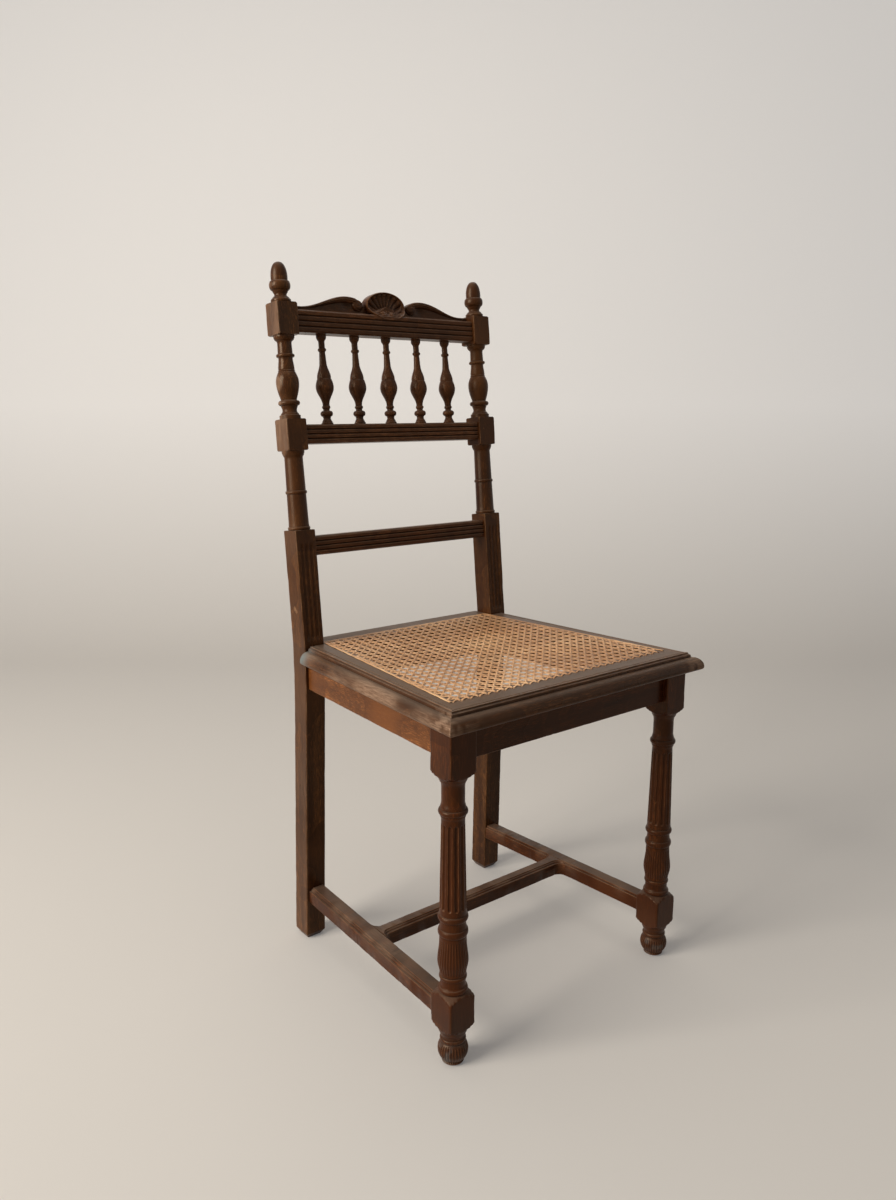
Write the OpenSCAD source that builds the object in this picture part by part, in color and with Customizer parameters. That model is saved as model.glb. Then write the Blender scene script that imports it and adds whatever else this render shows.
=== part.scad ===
// Carved and turned side chair with a hand-caned seat.
// Units are millimetres. +Z is up and the front is -Y. Left is -X, as seen by someone who faces the chair.
// The origin lies on the floor, at the middle of the chair's overall width and depth.
// Inside the modules, y runs from the front faces of the front legs, and place() moves the result.

/* [Overall] */
// Height of the seat's top face above the floor
seat_h = 460; // [430:1:500]
// Width across the outer faces of the front legs
front_w = 421; // [380:1:470]
// Width across the outer faces of the rear legs at the seat
rear_w = 380; // [345:1:400]
// Distance from the front legs' front faces to the rear legs' front faces
seat_d = 354; // [320:1:420]
// Backward lean of the back, in degrees
rake = 5.6; // [3:0.1:8]

/* [Front legs] */
// Side of the square blocks on a front leg
block = 39; // [36:0.5:46]
// Height of the upper block, which the seat rails enter
upper_block_h = 57; // [52:1:70]
// Distance from the floor to the lower block
lower_block_z = 53.5; // [48:0.5:60]
// Height of the lower block
lower_block_h = 38.5; // [34:0.5:44]
// Radius of the ball foot
ball_r = 19.2; // [16:0.1:19.4]
// Radius of the fluted shaft at its top
shaft_top_r = 14.3; // [13:0.1:16]
// Radius of the fluted shaft at its foot
shaft_foot_r = 16.5; // [15:0.1:17.5]
// Number of flutes round the shaft
leg_flutes = 12; // [8:1:16]
// Turn of the flutes from the faces of the blocks
flute_turn = 24; // [0:1:30]
// Radius of the tool that cuts a flute
flute_r = 2.6; // [1.5:0.1:3]
// Depth of a flute
flute_depth = 1.7; // [0.8:0.1:2]

/* [Rear posts] */
// Width of a rear post, side to side
post_w = 32; // [30:0.5:36]
// Depth of a rear post, front to back
post_d = 33.5; // [32:0.5:38]
// How far the rear feet stand behind the posts' line at the seat
foot_kick = 14; // [0:1:40]
// How far each rear foot stands outside the post at the seat
foot_splay = 3.4; // [0:0.2:10]
// Length of the fluted square above the seat
square_l = 163; // [140:1:180]
// Distance from the seat to the foot of the square's flutes
post_flute_foot = 8; // [4:1:30]
// Distance from the top of those flutes to the top of the square
post_flute_head = 22; // [12:1:40]
// Distance between those flutes
post_flute_pitch = 7.6; // [6:0.1:9]
// Distance from the seat to the middle block
mid_block_l = 274; // [250:1:290]
// Distance from the seat to the top block
top_block_l = 431.5; // [410:0.5:460]
// Height of the middle and top blocks
back_block_h = 43.5; // [40:0.5:50]
// Largest radius of the post's bulb
bulb_r = 16; // [14:0.1:16]
// Depth of the chamfer round the rear feet
foot_chamfer = 5; // [2:0.5:8]
// Height of the chamfer round the rear feet
foot_chamfer_h = 8; // [4:0.5:12]

/* [Finials] */
// Radius of the finial's cup
cup_r = 14.8; // [12:0.1:16]
// Height of the finial above the top block
finial_h = 55; // [48:0.5:64]
// Radius of the finial's dowel
dowel_r = 5; // [4:0.1:6]
// Length of the finial's dowel
dowel_l = 18; // [12:1:24]

/* [Back rails] */
// How far the rails' front faces lie behind the posts' front faces
rail_set = 4; // [2:0.5:6]
// Height of the crest rail's reeded band
band_h = 31; // [28:0.5:34]
// Depth of the crest rail's band, front to back
band_d = 24; // [20:0.5:26]
// Thickness of the carved board above the band
carving_t = 9; // [8:0.5:14]
// Height of the crest band above the top block's lower end
band_up = 4; // [2:0.5:8]
// Height of the shell above the straight top edge
shell_rise = 28; // [20:0.5:36]
// Half width of the shell
shell_half = 37; // [30:0.5:44]
// Distance from the middle to the top of a scroll
scroll_x = 66; // [58:0.5:74]
// Height of a scroll above the straight top edge
scroll_rise = 18; // [12:0.5:24]
// Height of the gallery rail
gallery_h = 27; // [24:0.5:30]
// Depth of the gallery rail
gallery_d = 27; // [24:0.5:28]
// Height of the gallery rail above the middle block's lower end
gallery_up = 8.5; // [6:0.5:10]
// Height of the lower back rail
lower_rail_h = 27.5; // [22:0.5:30]
// Depth of the lower back rail
lower_rail_d = 22; // [18:0.5:26]
// Distance from the seat to the lower back rail
lower_rail_l = 125.5; // [100:0.5:132]
// Width of the grooves that reed the back rails
reed_gap = 3; // [2:0.1:4]
// Depth of those grooves
reed_depth = 1.8; // [1:0.1:2.5]

/* [Spindles] */
// Distance between spindles
spindle_pitch = 56; // [52:0.5:58]
// How far the spindles' axes lie behind the middle of the gallery rail
spindle_back = 3; // [0:0.5:4]
// Largest radius of a spindle
spindle_r = 13; // [11:0.1:14]
// Radius of a spindle's round tenons
spindle_tenon_r = 4.5; // [3.5:0.1:5]
// Length of a spindle's round tenons
spindle_tenon_l = 10; // [8:0.5:12]

/* [Seat rails] */
// Height of the front seat rail
front_rail_h = 43; // [36:0.5:48]
// Height of the side and rear seat rails
rail_h = 39; // [34:0.5:46]
// Thickness of the seat rails
rail_t = 22; // [18:0.5:24]
// How far the front rail lies behind the front legs' front faces
front_rail_set = 8; // [4:0.5:9]
// How far the side rails lie inside the legs' outer faces
side_rail_set = 5; // [3:0.5:7]
// How far the rear rail lies in front of the posts' back faces
rear_rail_set = 5; // [3:0.5:8]
// Length of a corner block's sides
brace = 42; // [38:1:60]
// Height of a corner block
brace_h = 22; // [16:1:28]
// Distance from the seat frame down to the corner blocks
brace_drop = 8; // [0:1:12]

/* [Seat frame] */
// Thickness of the seat frame
frame_t = 24; // [20:0.5:28]
// Overhang of the frame in front of the front legs
front_over = 18.5; // [14:0.5:24]
// Overhang of the frame outside the front legs
side_over = 15.5; // [12:0.5:20]
// Overhang of the frame outside the rear posts
rear_side_over = 8.5; // [4:0.5:14]
// How far the frame reaches behind the rear posts
back_over = 5; // [0:0.5:8]
// Width of the moulded edge
edge_w = 17; // [14:0.5:20]
// Distance between cane holes
cane_pitch = 13.57; // [12:0.01:16]
// Radius of a cane hole
cane_hole_r = 2; // [1.5:0.1:2.5]
// Distance from the front legs' front faces to the front row of cane holes
cane_front = 23; // [20:0.5:28]
// Distance from the front corner of the cane to the outer face of the leg
cane_side = 20.5; // [18:0.5:28]
// Distance from the rear row of cane holes back from the posts' front faces
cane_rear = 8.5; // [4:0.5:14]
// Gap between the rear corner of the cane and the post
cane_post_gap = 5; // [3:0.5:10]
// Distance from the cane holes to the opening
cane_land = 11; // [8:0.5:14]
// Thickness of the woven cane
cane_t = 1.4; // [1:0.1:2]

/* [Stretchers] */
// Height of the stretchers' lower faces above the floor
stretcher_z = 61.5; // [56:0.5:64]
// Height of a stretcher
stretcher_h = 22; // [18:0.5:26]
// Width of a side stretcher
stretcher_w = 26; // [20:0.5:28]
// How far the side stretchers lie inside the legs' outer faces
stretcher_set = 4.6; // [3:0.2:7]
// Width of the cross stretcher
cross_w = 24; // [20:0.5:28]
// Distance from the front legs' front faces to the middle of the cross stretcher
cross_y = 207.5; // [120:0.5:260]
// Radius of the hollow corners where the cross stretcher meets the sides
cross_flare = 13; // [8:0.5:18]

/* [Joinery] */
// Thickness of the rails' tenons
tenon_t = 9; // [7:0.5:11]
// Length of the rails' tenons
tenon_l = 15; // [12:0.5:16]
// Shoulder left above and below a tenon
tenon_shoulder = 5; // [3:0.5:6]
// Glue clearance round a tenon
glue = 0.15; // [0.1:0.05:0.3]
// Radius of the dowels that hold the seat frame on the rails
peg_r = 3; // [2:0.1:3.5]
// Length of those dowels
peg_l = 24; // [16:1:30]
// Distance from the rails' outer faces to the dowels' axes
peg_set = 5.5; // [5:0.1:8]
// Clearance round and at the ends of the dowels
peg_gap = 0.1; // [0.05:0.05:0.3]

/* [Hidden] */

$fn = 64;
WALNUT = [0.33, 0.18, 0.10];
DARK_WALNUT = [0.24, 0.12, 0.07];
CANE = [0.80, 0.62, 0.40];
BEECH = [0.72, 0.56, 0.38];
big = 1200;            // longer than any piece of the chair
eps = 0.01;            // overlap that joins two solids of one piece
spare = 1;             // how far a cut runs past the face that it opens

// Seat structure
deck_z = seat_h - frame_t;                  // top of the legs' blocks and of the seat rails
upper_block_z = deck_z - upper_block_h;
front_rail_z = deck_z - front_rail_h;
rail_z = deck_z - rail_h;                   // lower faces of the side and rear rails
front_x = front_w/2 - block/2;              // axis of a front leg
leg_y = block/2;
post_x = rear_w/2 - post_w/2;               // middle of a rear post
post_in = rear_w/2 - post_w;                // its inner face
post_y = seat_d + post_d/2;
knee_z = rail_z - 5;                        // below this the rear leg kicks back and out

// Back, measured along the leaning posts from the height of the seat
blocks = [mid_block_l, top_block_l];
post_l = top_block_l + back_block_h;
rail_front = -post_d/2 + rail_set;          // depth of the rails' front faces
band_z = top_block_l + band_up;
board_z = post_l - 1.5;                     // straight top edge of the crest board
gallery_z = mid_block_l + gallery_up;
gallery_top = gallery_z + gallery_h;
spindle_y = rail_front + gallery_d/2 + spindle_back;

// Overall depth, which sets the origin
lean_back = max(post_l*sin(rake) + post_d/2*cos(rake),
                (post_l + 0.5*finial_h)*sin(rake) + cup_r*cos(rake));
back_y = max(post_y + lean_back, seat_d + post_d + foot_kick);
mid_y = (back_y - front_over)/2;

// Seat frame plan
nose_front = front_w/2 + side_over;
nose_rear = rear_w/2 + rear_side_over;
frame_back = seat_d + post_d + back_over;
cane_fx = front_w/2 - cane_side;
cane_rx = post_in - cane_post_gap;
cane_ry = seat_d + cane_rear;
open_fy = cane_front + cane_land;
open_ry = cane_ry - cane_land;
function cane_x(y) = cane_fx + (cane_rx - cane_fx)*(y - cane_front)/(cane_ry - cane_front);
function open_x(y) = cane_x(y) - cane_land;
function nose_x(y) = nose_front + (nose_rear - nose_front)*(y + front_over)/(seat_d + front_over);

// Side rail plan: x of the outer face at y
function side_x(y) = front_w/2 - side_rail_set + (rear_w - front_w)/2*(y - block)/(seat_d - block);

// Stretcher plan
splay_at = foot_splay*(knee_z - stretcher_z - stretcher_h/2)/knee_z;
stretcher_fx = front_w/2 - stretcher_set - stretcher_w/2;
stretcher_rx = rear_w/2 + splay_at - stretcher_set - stretcher_w/2;
stretcher_ry = seat_d + foot_kick*(knee_z - stretcher_z)/knee_z;
stretcher_a = atan((stretcher_fx - stretcher_rx)/(stretcher_ry - block));
function stretcher_x(y) = stretcher_fx - (y - block)*tan(stretcher_a);

// ---- turned outlines: lists of [radius, height], rising ----

// Round bead between two heights that stands out from r0 to r1
function bead(z0, z1, r0, r1) =
    [for (a = [0:30:180]) [r0 + (r1 - r0)*sin(a), (z0 + z1)/2 - (z1 - z0)/2*cos(a)]];

// Smooth flow from one radius to another
function flow(z0, r0, z1, r1) =
    [for (t = [0:0.2:1]) [r0 + (r1 - r0)*(1 - cos(180*t))/2, z0 + (z1 - z0)*t]];

// Quarter round from one radius to another, level at the larger one
function swell(z0, r0, z1, r1) =
    [for (t = [0:0.2:1]) [r0 + (r1 - r0)*(r1 > r0 ? sin(90*t) : 1 - cos(90*t)), z0 + (z1 - z0)*t]];

// Points that repeat the one before are left out
function tidy(p) = [for (i = [0:len(p) - 1]) if (i == 0 || norm(p[i] - p[max(i - 1, 0)]) > 0.02) p[i]];

module turned(points) {
    line = tidy(points);
    rotate_extrude() polygon(concat([[0, line[0][1]]], line, [[0, line[len(line) - 1][1]]]));
}

// Corner radius that a square block's turned shoulders start from
function shoulder(side) = side/2*sqrt(2) + 0.3;

module place() translate([0, -mid_y, 0]) children();
module flipped() mirror([1, 0, 0]) children();
module both() {
    children();
    flipped() children();
}
module on_post() translate([post_x, post_y, seat_h]) rotate([-rake, 0, 0]) children();
module on_back() translate([0, post_y, seat_h]) rotate([-rake, 0, 0]) children();

mortise_end = 1;                            // how much deeper a mortise is than its tenon is long

// A tenon that runs along +X from the origin; the mortise is the same with clearance
module tenon(h, l = tenon_l, gap = 0)
    translate([-eps, -tenon_t/2 - gap, tenon_shoulder - gap])
        cube([l + eps + (gap > 0 ? mortise_end : 0), tenon_t + 2*gap, h - 2*tenon_shoulder + 2*gap]);

// ---- front legs ----

lower_block_top = lower_block_z + lower_block_h;
ring_1 = upper_block_z - 48.5;              // bead above the flutes
ring_2 = lower_block_top + 104;             // bead below the flutes
ring_3 = ring_2 - 19;
body_z = lower_block_top + 46;              // widest place of the reeded body
flute_top = ring_1 - 15;
flute_foot = ring_2 + 11;

function leg_outline() = concat(
    [[ball_r*0.5, 0], [ball_r*0.72, 2.5]],
    [for (a = [-50:15:40]) [ball_r*cos(a), 18.4 + ball_r*sin(a)*0.95]],
    bead(30.5, 35.5, 14.8, 16.4),
    flow(36.5, 14.9, lower_block_z - 7, 18.2),
    [[19.4, lower_block_z - 5], [shoulder(block), lower_block_z + 1]],
    [[shoulder(block), lower_block_top - 1.5], [19.5, lower_block_top + 4], [17.6, lower_block_top + 5.5]],
    bead(lower_block_top + 6, lower_block_top + 12.5, 16.4, 18.3),
    flow(lower_block_top + 14, 15.5, lower_block_top + 22, 15.6),
    bead(lower_block_top + 23, lower_block_top + 28, 15.8, 17.2),
    flow(lower_block_top + 29.5, 16.4, body_z, 19.1),
    flow(body_z, 19.1, body_z + 26, 16.8),
    bead(ring_3 - 4.5, ring_3 + 4.5, 16.6, 18.6),
    flow(ring_3 + 5, 16.4, ring_3 + 12, 15.8),
    bead(ring_2 - 4, ring_2 + 4, 16, 18.7),
    flow(ring_2 + 4.5, 16.8, ring_2 + 11, shaft_foot_r),
    [[shaft_top_r, flute_top + 4]],
    flow(ring_1 - 10, shaft_top_r, ring_1 - 4.5, 15.6),
    bead(ring_1 - 3.5, ring_1 + 3.5, 15.6, 17.9),
    flow(ring_1 + 4, 15.6, ring_1 + 12, 14.1),
    [[14.1, upper_block_z - 17], [14.6, upper_block_z - 13.5], [16, upper_block_z - 11],
     [17, upper_block_z - 9], [17.6, upper_block_z - 6.8], [19, upper_block_z - 5.6],
     [shoulder(block), upper_block_z]],
    [[shoulder(block), deck_z]]);

// The tool that cuts a flute with rounded ends
module round_ended(l) {
    cylinder(r = flute_r, h = l, $fn = 24);
    sphere(r = flute_r, $fn = 24);
    translate([0, 0, l]) sphere(r = flute_r, $fn = 24);
}

module leg_flute_cuts() {
    lean = atan((shaft_foot_r - shaft_top_r)/(flute_top - flute_foot));
    for (i = [0:leg_flutes - 1])
        rotate([0, 0, flute_turn + i*360/leg_flutes])
            translate([shaft_foot_r + flute_r - flute_depth, 0, flute_foot + flute_r])
                rotate([0, -lean, 0]) round_ended(flute_top - flute_foot - 2*flute_r);
}

module front_leg() color(WALNUT) difference() {
    translate([front_x, leg_y, 0]) difference() {
        intersection() {
            turned(leg_outline());
            translate([-block/2, -block/2, 0]) cube([block, block, deck_z]);
        }
        leg_flute_cuts();
    }
    front_rail_tenon(glue);
    side_rail_tenon_front(glue);
    stretcher_tenon_front(glue);
}

// ---- rear posts ----

// Turned part between the square and the middle block
function shaft_outline() = concat(
    [[15.6, square_l - 1]], bead(square_l, square_l + 5, 14.6, 15.9),
    [[14.3, square_l + 9], [13.7, square_l + 49]],
    bead(square_l + 50.5, square_l + 55.5, 13.6, 15.2),
    [[13.6, square_l + 58], [13, mid_block_l - 13]],
    flow(mid_block_l - 10, 13, mid_block_l - 5, 15),
    [[15.9, mid_block_l - 3], [15.9, mid_block_l + 1]]);

// Turned part between the middle and top blocks
mid_top = mid_block_l + back_block_h;
bulb_z = mid_top + 50;                      // widest place of the bulb
function baluster_outline() = concat(
    [[14.8, mid_top - 1], [14.8, mid_top + 5]],
    flow(mid_top + 6, 13, mid_top + 11, 10.2),
    flow(mid_top + 13, 10.2, mid_top + 18, 11.6),
    bead(mid_top + 18.5, mid_top + 25.5, 12, 15.2),
    swell(mid_top + 26.5, 11, bulb_z, bulb_r),
    swell(bulb_z + 1, bulb_r, bulb_z + 14, 12.3),
    [[11.5, bulb_z + 14.8], [12, bulb_z + 15.8], [11.2, bulb_z + 17]],
    flow(bulb_z + 18, 11.4, top_block_l - 31, 10),
    bead(top_block_l - 30, top_block_l - 25, 10.4, 13),
    [[10.4, top_block_l - 24], [10, top_block_l - 11]],
    flow(top_block_l - 9.5, 10.2, top_block_l - 5, 13.8),
    [[14.6, top_block_l - 3.5], [14.6, top_block_l + 1]]);

// Square block with its corners turned off at both ends
module back_block(z) {
    turn_d = 3;
    turn_h = 2.5;
    r = shoulder(post_d);
    intersection() {
        translate([-post_w/2, -post_d/2, z]) cube([post_w, post_d, back_block_h]);
        turned([[r - turn_d, z], [r, z + turn_h],
                [r, z + back_block_h - turn_h], [r - turn_d, z + back_block_h]]);
    }
}

// Side view of the stick up to the fluted square's top, as [y from seat_d, z]
knee_t = post_d/2*tan(rake/2);
module stick_above() {
    top = [post_d/2 + square_l*sin(rake), seat_h + square_l*cos(rake)];
    half = post_d/2*[cos(rake), -sin(rake)];
    translate([post_in, seat_d, 0]) rotate([90, 0, 90]) linear_extrude(post_w) polygon([
        [0, knee_z], [0, seat_h + knee_t], top - half,
        top + half, [post_d, seat_h - knee_t], [post_d, knee_z]
    ]);
}

module stick_below() {
    below = 5;             // the leaning part is made this much too long and cut off at the floor
    intersection() {
        translate([rear_w/2, seat_d, knee_z]) rotate([0, -atan(foot_splay/knee_z), 0])
            translate([-post_w, 0, -knee_z]) rotate([90, 0, 90]) linear_extrude(post_w) polygon([
                [foot_kick*(1 + below/knee_z), -below], [0, knee_z], [0, knee_z + 1],
                [post_d, knee_z + 1], [post_d, knee_z], [post_d + foot_kick*(1 + below/knee_z), -below]
            ]);
        above_floor();
    }
}

module above_floor() translate([-big/2, -big/2, 0]) cube(big);

module foot_cuts()
    translate([rear_w/2 + foot_splay - post_w/2, seat_d + foot_kick + post_d/2, 0])
        for (side = [[post_w, 0], [post_d, 90], [post_w, 180], [post_d, 270]])
            rotate([0, 0, side[1]]) translate([side[0]/2, -post_d, foot_chamfer_h])
                rotate([0, atan(foot_chamfer/foot_chamfer_h), 0]) translate([0, 0, -post_d])
                    cube([post_d, 2*post_d, post_d]);

module post_flutes() {
    l = square_l - post_flute_foot - post_flute_head - 2*flute_r;
    for (i = [-1:1])
        translate([i*post_flute_pitch, -post_d/2 - flute_r + flute_depth, post_flute_foot + flute_r])
            round_ended(l);
}

module rear_post() color(WALNUT) difference() {
    union() {
        stick_above();
        difference() {
            stick_below();
            foot_cuts();
        }
        on_post() {
            turned(shaft_outline());
            back_block(mid_block_l);
            turned(baluster_outline());
            back_block(top_block_l);
        }
    }
    on_post() {
        post_flutes();
        translate([0, 0, post_l - dowel_l - 1]) cylinder(r = dowel_r + 0.05, h = dowel_l + 2);
    }
    back_tenons(glue);
    rear_rail_tenon(glue);
    side_rail_tenon_rear(glue);
    stretcher_tenon_rear(glue);
}

// ---- finials ----

module finial() color(WALNUT) on_post() turned(concat(
    [[dowel_r - 0.8, post_l - dowel_l], [dowel_r, post_l - dowel_l + 1], [dowel_r, post_l], [13, post_l]],
    bead(post_l + 0.5, post_l + 5, 13, 14),
    flow(post_l + 6, 12, post_l + 10, 8.6),
    flow(post_l + 11, 8.6, post_l + 15.5, 10.6),
    [[11.4, post_l + 16.2]],
    bead(post_l + 17, post_l + 30.5, cup_r - 2.6, cup_r),
    [for (a = [0:15:75]) [11.9*pow(cos(a), 0.8), post_l + 31 + (finial_h - 31)*sin(a)]],
    [[1, post_l + finial_h]]));

// ---- back rails, drawn in the plane of the posts ----

// Cross-section of a rail as [depth, height], with grooves along its front face
function reeded(d, h, grooves) = concat(
    [[0, 0]],
    [for (i = [1:grooves]) let (z = h*i/(grooves + 1))
        each [[0, z - reed_gap/2], [reed_depth, z - reed_gap/4],
              [reed_depth, z + reed_gap/4], [0, z + reed_gap/2]]],
    [[0, h], [d, h], [d, 0]]);

module back_rail(z, d, h, grooves)
    translate([-post_in, rail_front, z]) rotate([90, 0, 90])
        linear_extrude(2*post_in) polygon(reeded(d, h, grooves));

crest_tenon_l = post_w/2 - dowel_r - 1.5;    // stops short of the finials' dowels

module back_tenon(z, d, h, gap, l = tenon_l)
    translate([post_in, rail_front + d/2, z]) tenon(h, l, gap);

module back_tenons(gap) on_back() {
    back_tenon(band_z, band_d, band_h, gap, crest_tenon_l);
    back_tenon(gallery_z, gallery_d, gallery_h, gap);
    back_tenon(lower_rail_l, lower_rail_d, lower_rail_h, gap);
}

scroll_foot = 4;                            // height of the dip between the shell and a scroll
scroll_run = 78;                            // length of a scroll's long outer slope

// Upper edge of the crest board from the middle outwards, as [x, height above the straight edge]
function shell_edge() =
    [for (a = [90:-15:15]) [shell_half*cos(a), shell_rise*sin(a)]];
function scroll_edge() = concat(
    [for (a = [160:-20:100])
        [scroll_x + (scroll_x - shell_half)*cos(a), scroll_foot + (scroll_rise - scroll_foot)*sin(a)]],
    [for (t = [0:0.125:1]) [scroll_x + scroll_run*t, scroll_rise*(1 + cos(180*t))/2]]);
function crest_edge() = concat(shell_edge(), scroll_edge());

module crest_board() {
    edge = crest_edge();
    half = concat([[0, 0]], [for (p = edge) [p[0], board_z - band_z + max(p[1], 0)]],
                  [[post_in, board_z - band_z], [post_in, 0]]);
    left = [for (i = [len(half) - 1:-1:2]) [-half[i][0], half[i][1]]];
    translate([0, rail_front + band_d, band_z]) rotate([90, 0, 0])
        linear_extrude(carving_t) polygon(concat([for (i = [1:len(half) - 1]) half[i]], left));
}

module spindle_holes(z)
    for (i = [-2:2])
        translate([i*spindle_pitch, spindle_y, z])
            cylinder(r = spindle_tenon_r + 0.1, h = spindle_tenon_l + 1);

module crest_rail() color(DARK_WALNUT) on_back() difference() {
    union() {
        back_rail(band_z, band_d, band_h, 3);
        crest_board();
        both() back_tenon(band_z, band_d, band_h, 0, crest_tenon_l);
    }
    spindle_holes(band_z - eps);
}

module gallery_rail() color(DARK_WALNUT) on_back() difference() {
    union() {
        back_rail(gallery_z, gallery_d, gallery_h, 3);
        both() back_tenon(gallery_z, gallery_d, gallery_h, 0);
    }
    spindle_holes(gallery_top - spindle_tenon_l - 1 + eps);
}

module lower_back_rail() color(DARK_WALNUT) on_back() {
    back_rail(lower_rail_l, lower_rail_d, lower_rail_h, 3);
    both() back_tenon(lower_rail_l, lower_rail_d, lower_rail_h, 0);
}

// ---- spindles ----

spindle_l = band_z - gallery_top;
spindle_bulb = 53;                          // height of the widest place above the gallery rail
function spindle_outline() = concat(
    [[spindle_tenon_r, -spindle_tenon_l], [spindle_tenon_r, 0], [8.6, 0], [8.6, 2.5]],
    flow(3, 7.6, 9, 5.4),
    bead(11.5, 19.5, 6, 9.1),
    flow(20.5, 4.6, 22.5, 4.8),
    bead(22.5, 27, 4.8, 6.1),
    flow(28, 5, spindle_bulb, spindle_r),
    swell(spindle_bulb, spindle_r, spindle_bulb + 11, 10.6),
    [[9.9, spindle_bulb + 11.8], [10.2, spindle_bulb + 12.6]],
    flow(spindle_bulb + 13, 10.1, spindle_bulb + 34, 5.2),
    [[4.3, spindle_l - 24]], bead(spindle_l - 23, spindle_l - 18.5, 4.6, 6.1),
    [[4.5, spindle_l - 17.5], [4.5, spindle_l - 10]],
    flow(spindle_l - 9.5, 4.6, spindle_l - 4.5, 7),
    [[7.3, spindle_l - 3.5], [7.3, spindle_l], [spindle_tenon_r, spindle_l],
     [spindle_tenon_r, spindle_l + spindle_tenon_l]]);

module spindle(i) color(DARK_WALNUT) on_back()
    translate([i*spindle_pitch, spindle_y, gallery_top]) turned(spindle_outline());

// ---- seat rails ----

front_rail_y = front_rail_set + rail_t/2;
rear_rail_y = seat_d + post_d - rear_rail_set - rail_t/2;
side_a = atan((front_w - rear_w)/2/(seat_d - block));

module front_rail_tenon(gap)
    translate([front_w/2 - block, front_rail_y, front_rail_z]) tenon(front_rail_h, tenon_l, gap);
module rear_rail_tenon(gap) translate([post_in, rear_rail_y, rail_z]) tenon(rail_h, tenon_l, gap);
module side_rail_tenon_front(gap)
    translate([side_x(block) - rail_t/2, block, rail_z]) rotate([0, 0, -90]) tenon(rail_h, tenon_l - 2, gap);
// This one stops short of the rear rail's tenon
module side_rail_tenon_rear(gap)
    translate([side_x(seat_d) - rail_t/2 - 1, seat_d, rail_z]) rotate([0, 0, 90])
        tenon(rail_h, rear_rail_y - tenon_t/2 - seat_d - 1.5, gap);

module seat_rail_front() color(DARK_WALNUT) difference() {
    union() {
        translate([block - front_w/2, front_rail_set, front_rail_z])
            cube([front_w - 2*block, rail_t, front_rail_h]);
        both() front_rail_tenon(0);
    }
    both() peg_hole(front_peg);
}

module seat_rail_rear() color(DARK_WALNUT) difference() {
    union() {
        translate([-post_in, rear_rail_y - rail_t/2, rail_z]) cube([2*post_in, rail_t, rail_h]);
        both() rear_rail_tenon(0);
    }
    both() peg_hole(rear_peg);
}

module seat_rail_side() color(WALNUT) difference() {
    union() {
        translate([0, 0, rail_z]) linear_extrude(rail_h) polygon([
            [side_x(block), block], [side_x(seat_d), seat_d],
            [side_x(seat_d) - rail_t, seat_d], [side_x(block) - rail_t, block]]);
        side_rail_tenon_front(0);
        side_rail_tenon_rear(0);
    }
    for (at = side_pegs) peg_hole(at);
}

// ---- dowels between the rails and the seat frame ----

front_peg = [front_w/4, front_rail_set + peg_set];
rear_peg = [rear_w/4, seat_d + post_d - rear_rail_set - peg_set];
side_pegs = [for (t = [1/3, 2/3]) let (y = block + t*(seat_d - block)) [side_x(y) - peg_set, y]];

module peg(at, gap = 0)
    translate([at[0], at[1], deck_z - peg_l/2 - gap]) cylinder(r = peg_r + gap, h = peg_l + 2*gap, $fn = 32);

module peg_hole(at) peg(at, peg_gap);

module frame_dowels() color(BEECH) both() {
    peg(front_peg);
    peg(rear_peg);
    for (at = side_pegs) peg(at);
}

// ---- corner blocks ----

inner_fy = front_rail_set + rail_t;
inner_ry = rear_rail_y - rail_t/2;
function inner_x(y) = side_x(y) - rail_t;

// Three-cornered block in the angle of two rails at height y, cut away round the leg
module corner_block(y, way, leg_x0, leg_y0, leg_y1)
    translate([0, 0, deck_z - brace_drop - brace_h]) linear_extrude(brace_h) difference() {
        polygon([[inner_x(y), y], [inner_x(y + way*brace), y + way*brace],
                 [inner_x(y) - brace, y]]);
        translate([leg_x0, leg_y0]) square([big, leg_y1 - leg_y0]);
    }

module corner_blocks_front() color(WALNUT) both()
    corner_block(inner_fy, 1, front_w/2 - block, 0, block);

module corner_blocks_rear() color(WALNUT) both()
    corner_block(inner_ry, -1, post_in, seat_d, seat_d + post_d);

// ---- seat frame ----

quirk = 6.5;                                // depth of the groove above the thumbnail
thumb_z = 19.7;                             // depth of the nose below the top face

// Moulded edge as [distance in from the nose, height below the top face]
function moulding() = concat(
    [[edge_w, 0], [edge_w - 0.4, -2], [edge_w - 2.4, -3.2], [edge_w - 3, -5], [edge_w - 3.2, -quirk],
     [edge_w - 4.6, -quirk]],
    [for (a = [75:-15:0]) [(edge_w - 4.6)*(1 - cos(a)), -thumb_z + (thumb_z - quirk)*sin(a)]],
    [for (a = [30:30:90]) [4*(1 - cos(a)), -thumb_z - (frame_t - thumb_z)*sin(a)]]);

// Bar with the moulded edge along +Y, its nose on x = 0 and its body towards -X
module moulded_bar(l, w)
    rotate([90, 0, 180]) linear_extrude(l)
        polygon(concat([for (p = moulding()) [p[0], seat_h + p[1]]], [[w, deck_z], [w, seat_h]]));

front_holes = floor(2*cane_fx/cane_pitch);
rear_holes = floor(2*cane_rx/cane_pitch);
side_holes = round((cane_ry - cane_front)/cane_pitch);

module cane_hole(x, y)
    translate([x, y, deck_z - spare]) cylinder(r = cane_hole_r, h = frame_t + 2*spare, $fn = 16);

stock_w = 130;                              // width of the bars that the members are cut from
stock_end = 50;                             // spare length of those bars at each end

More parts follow.
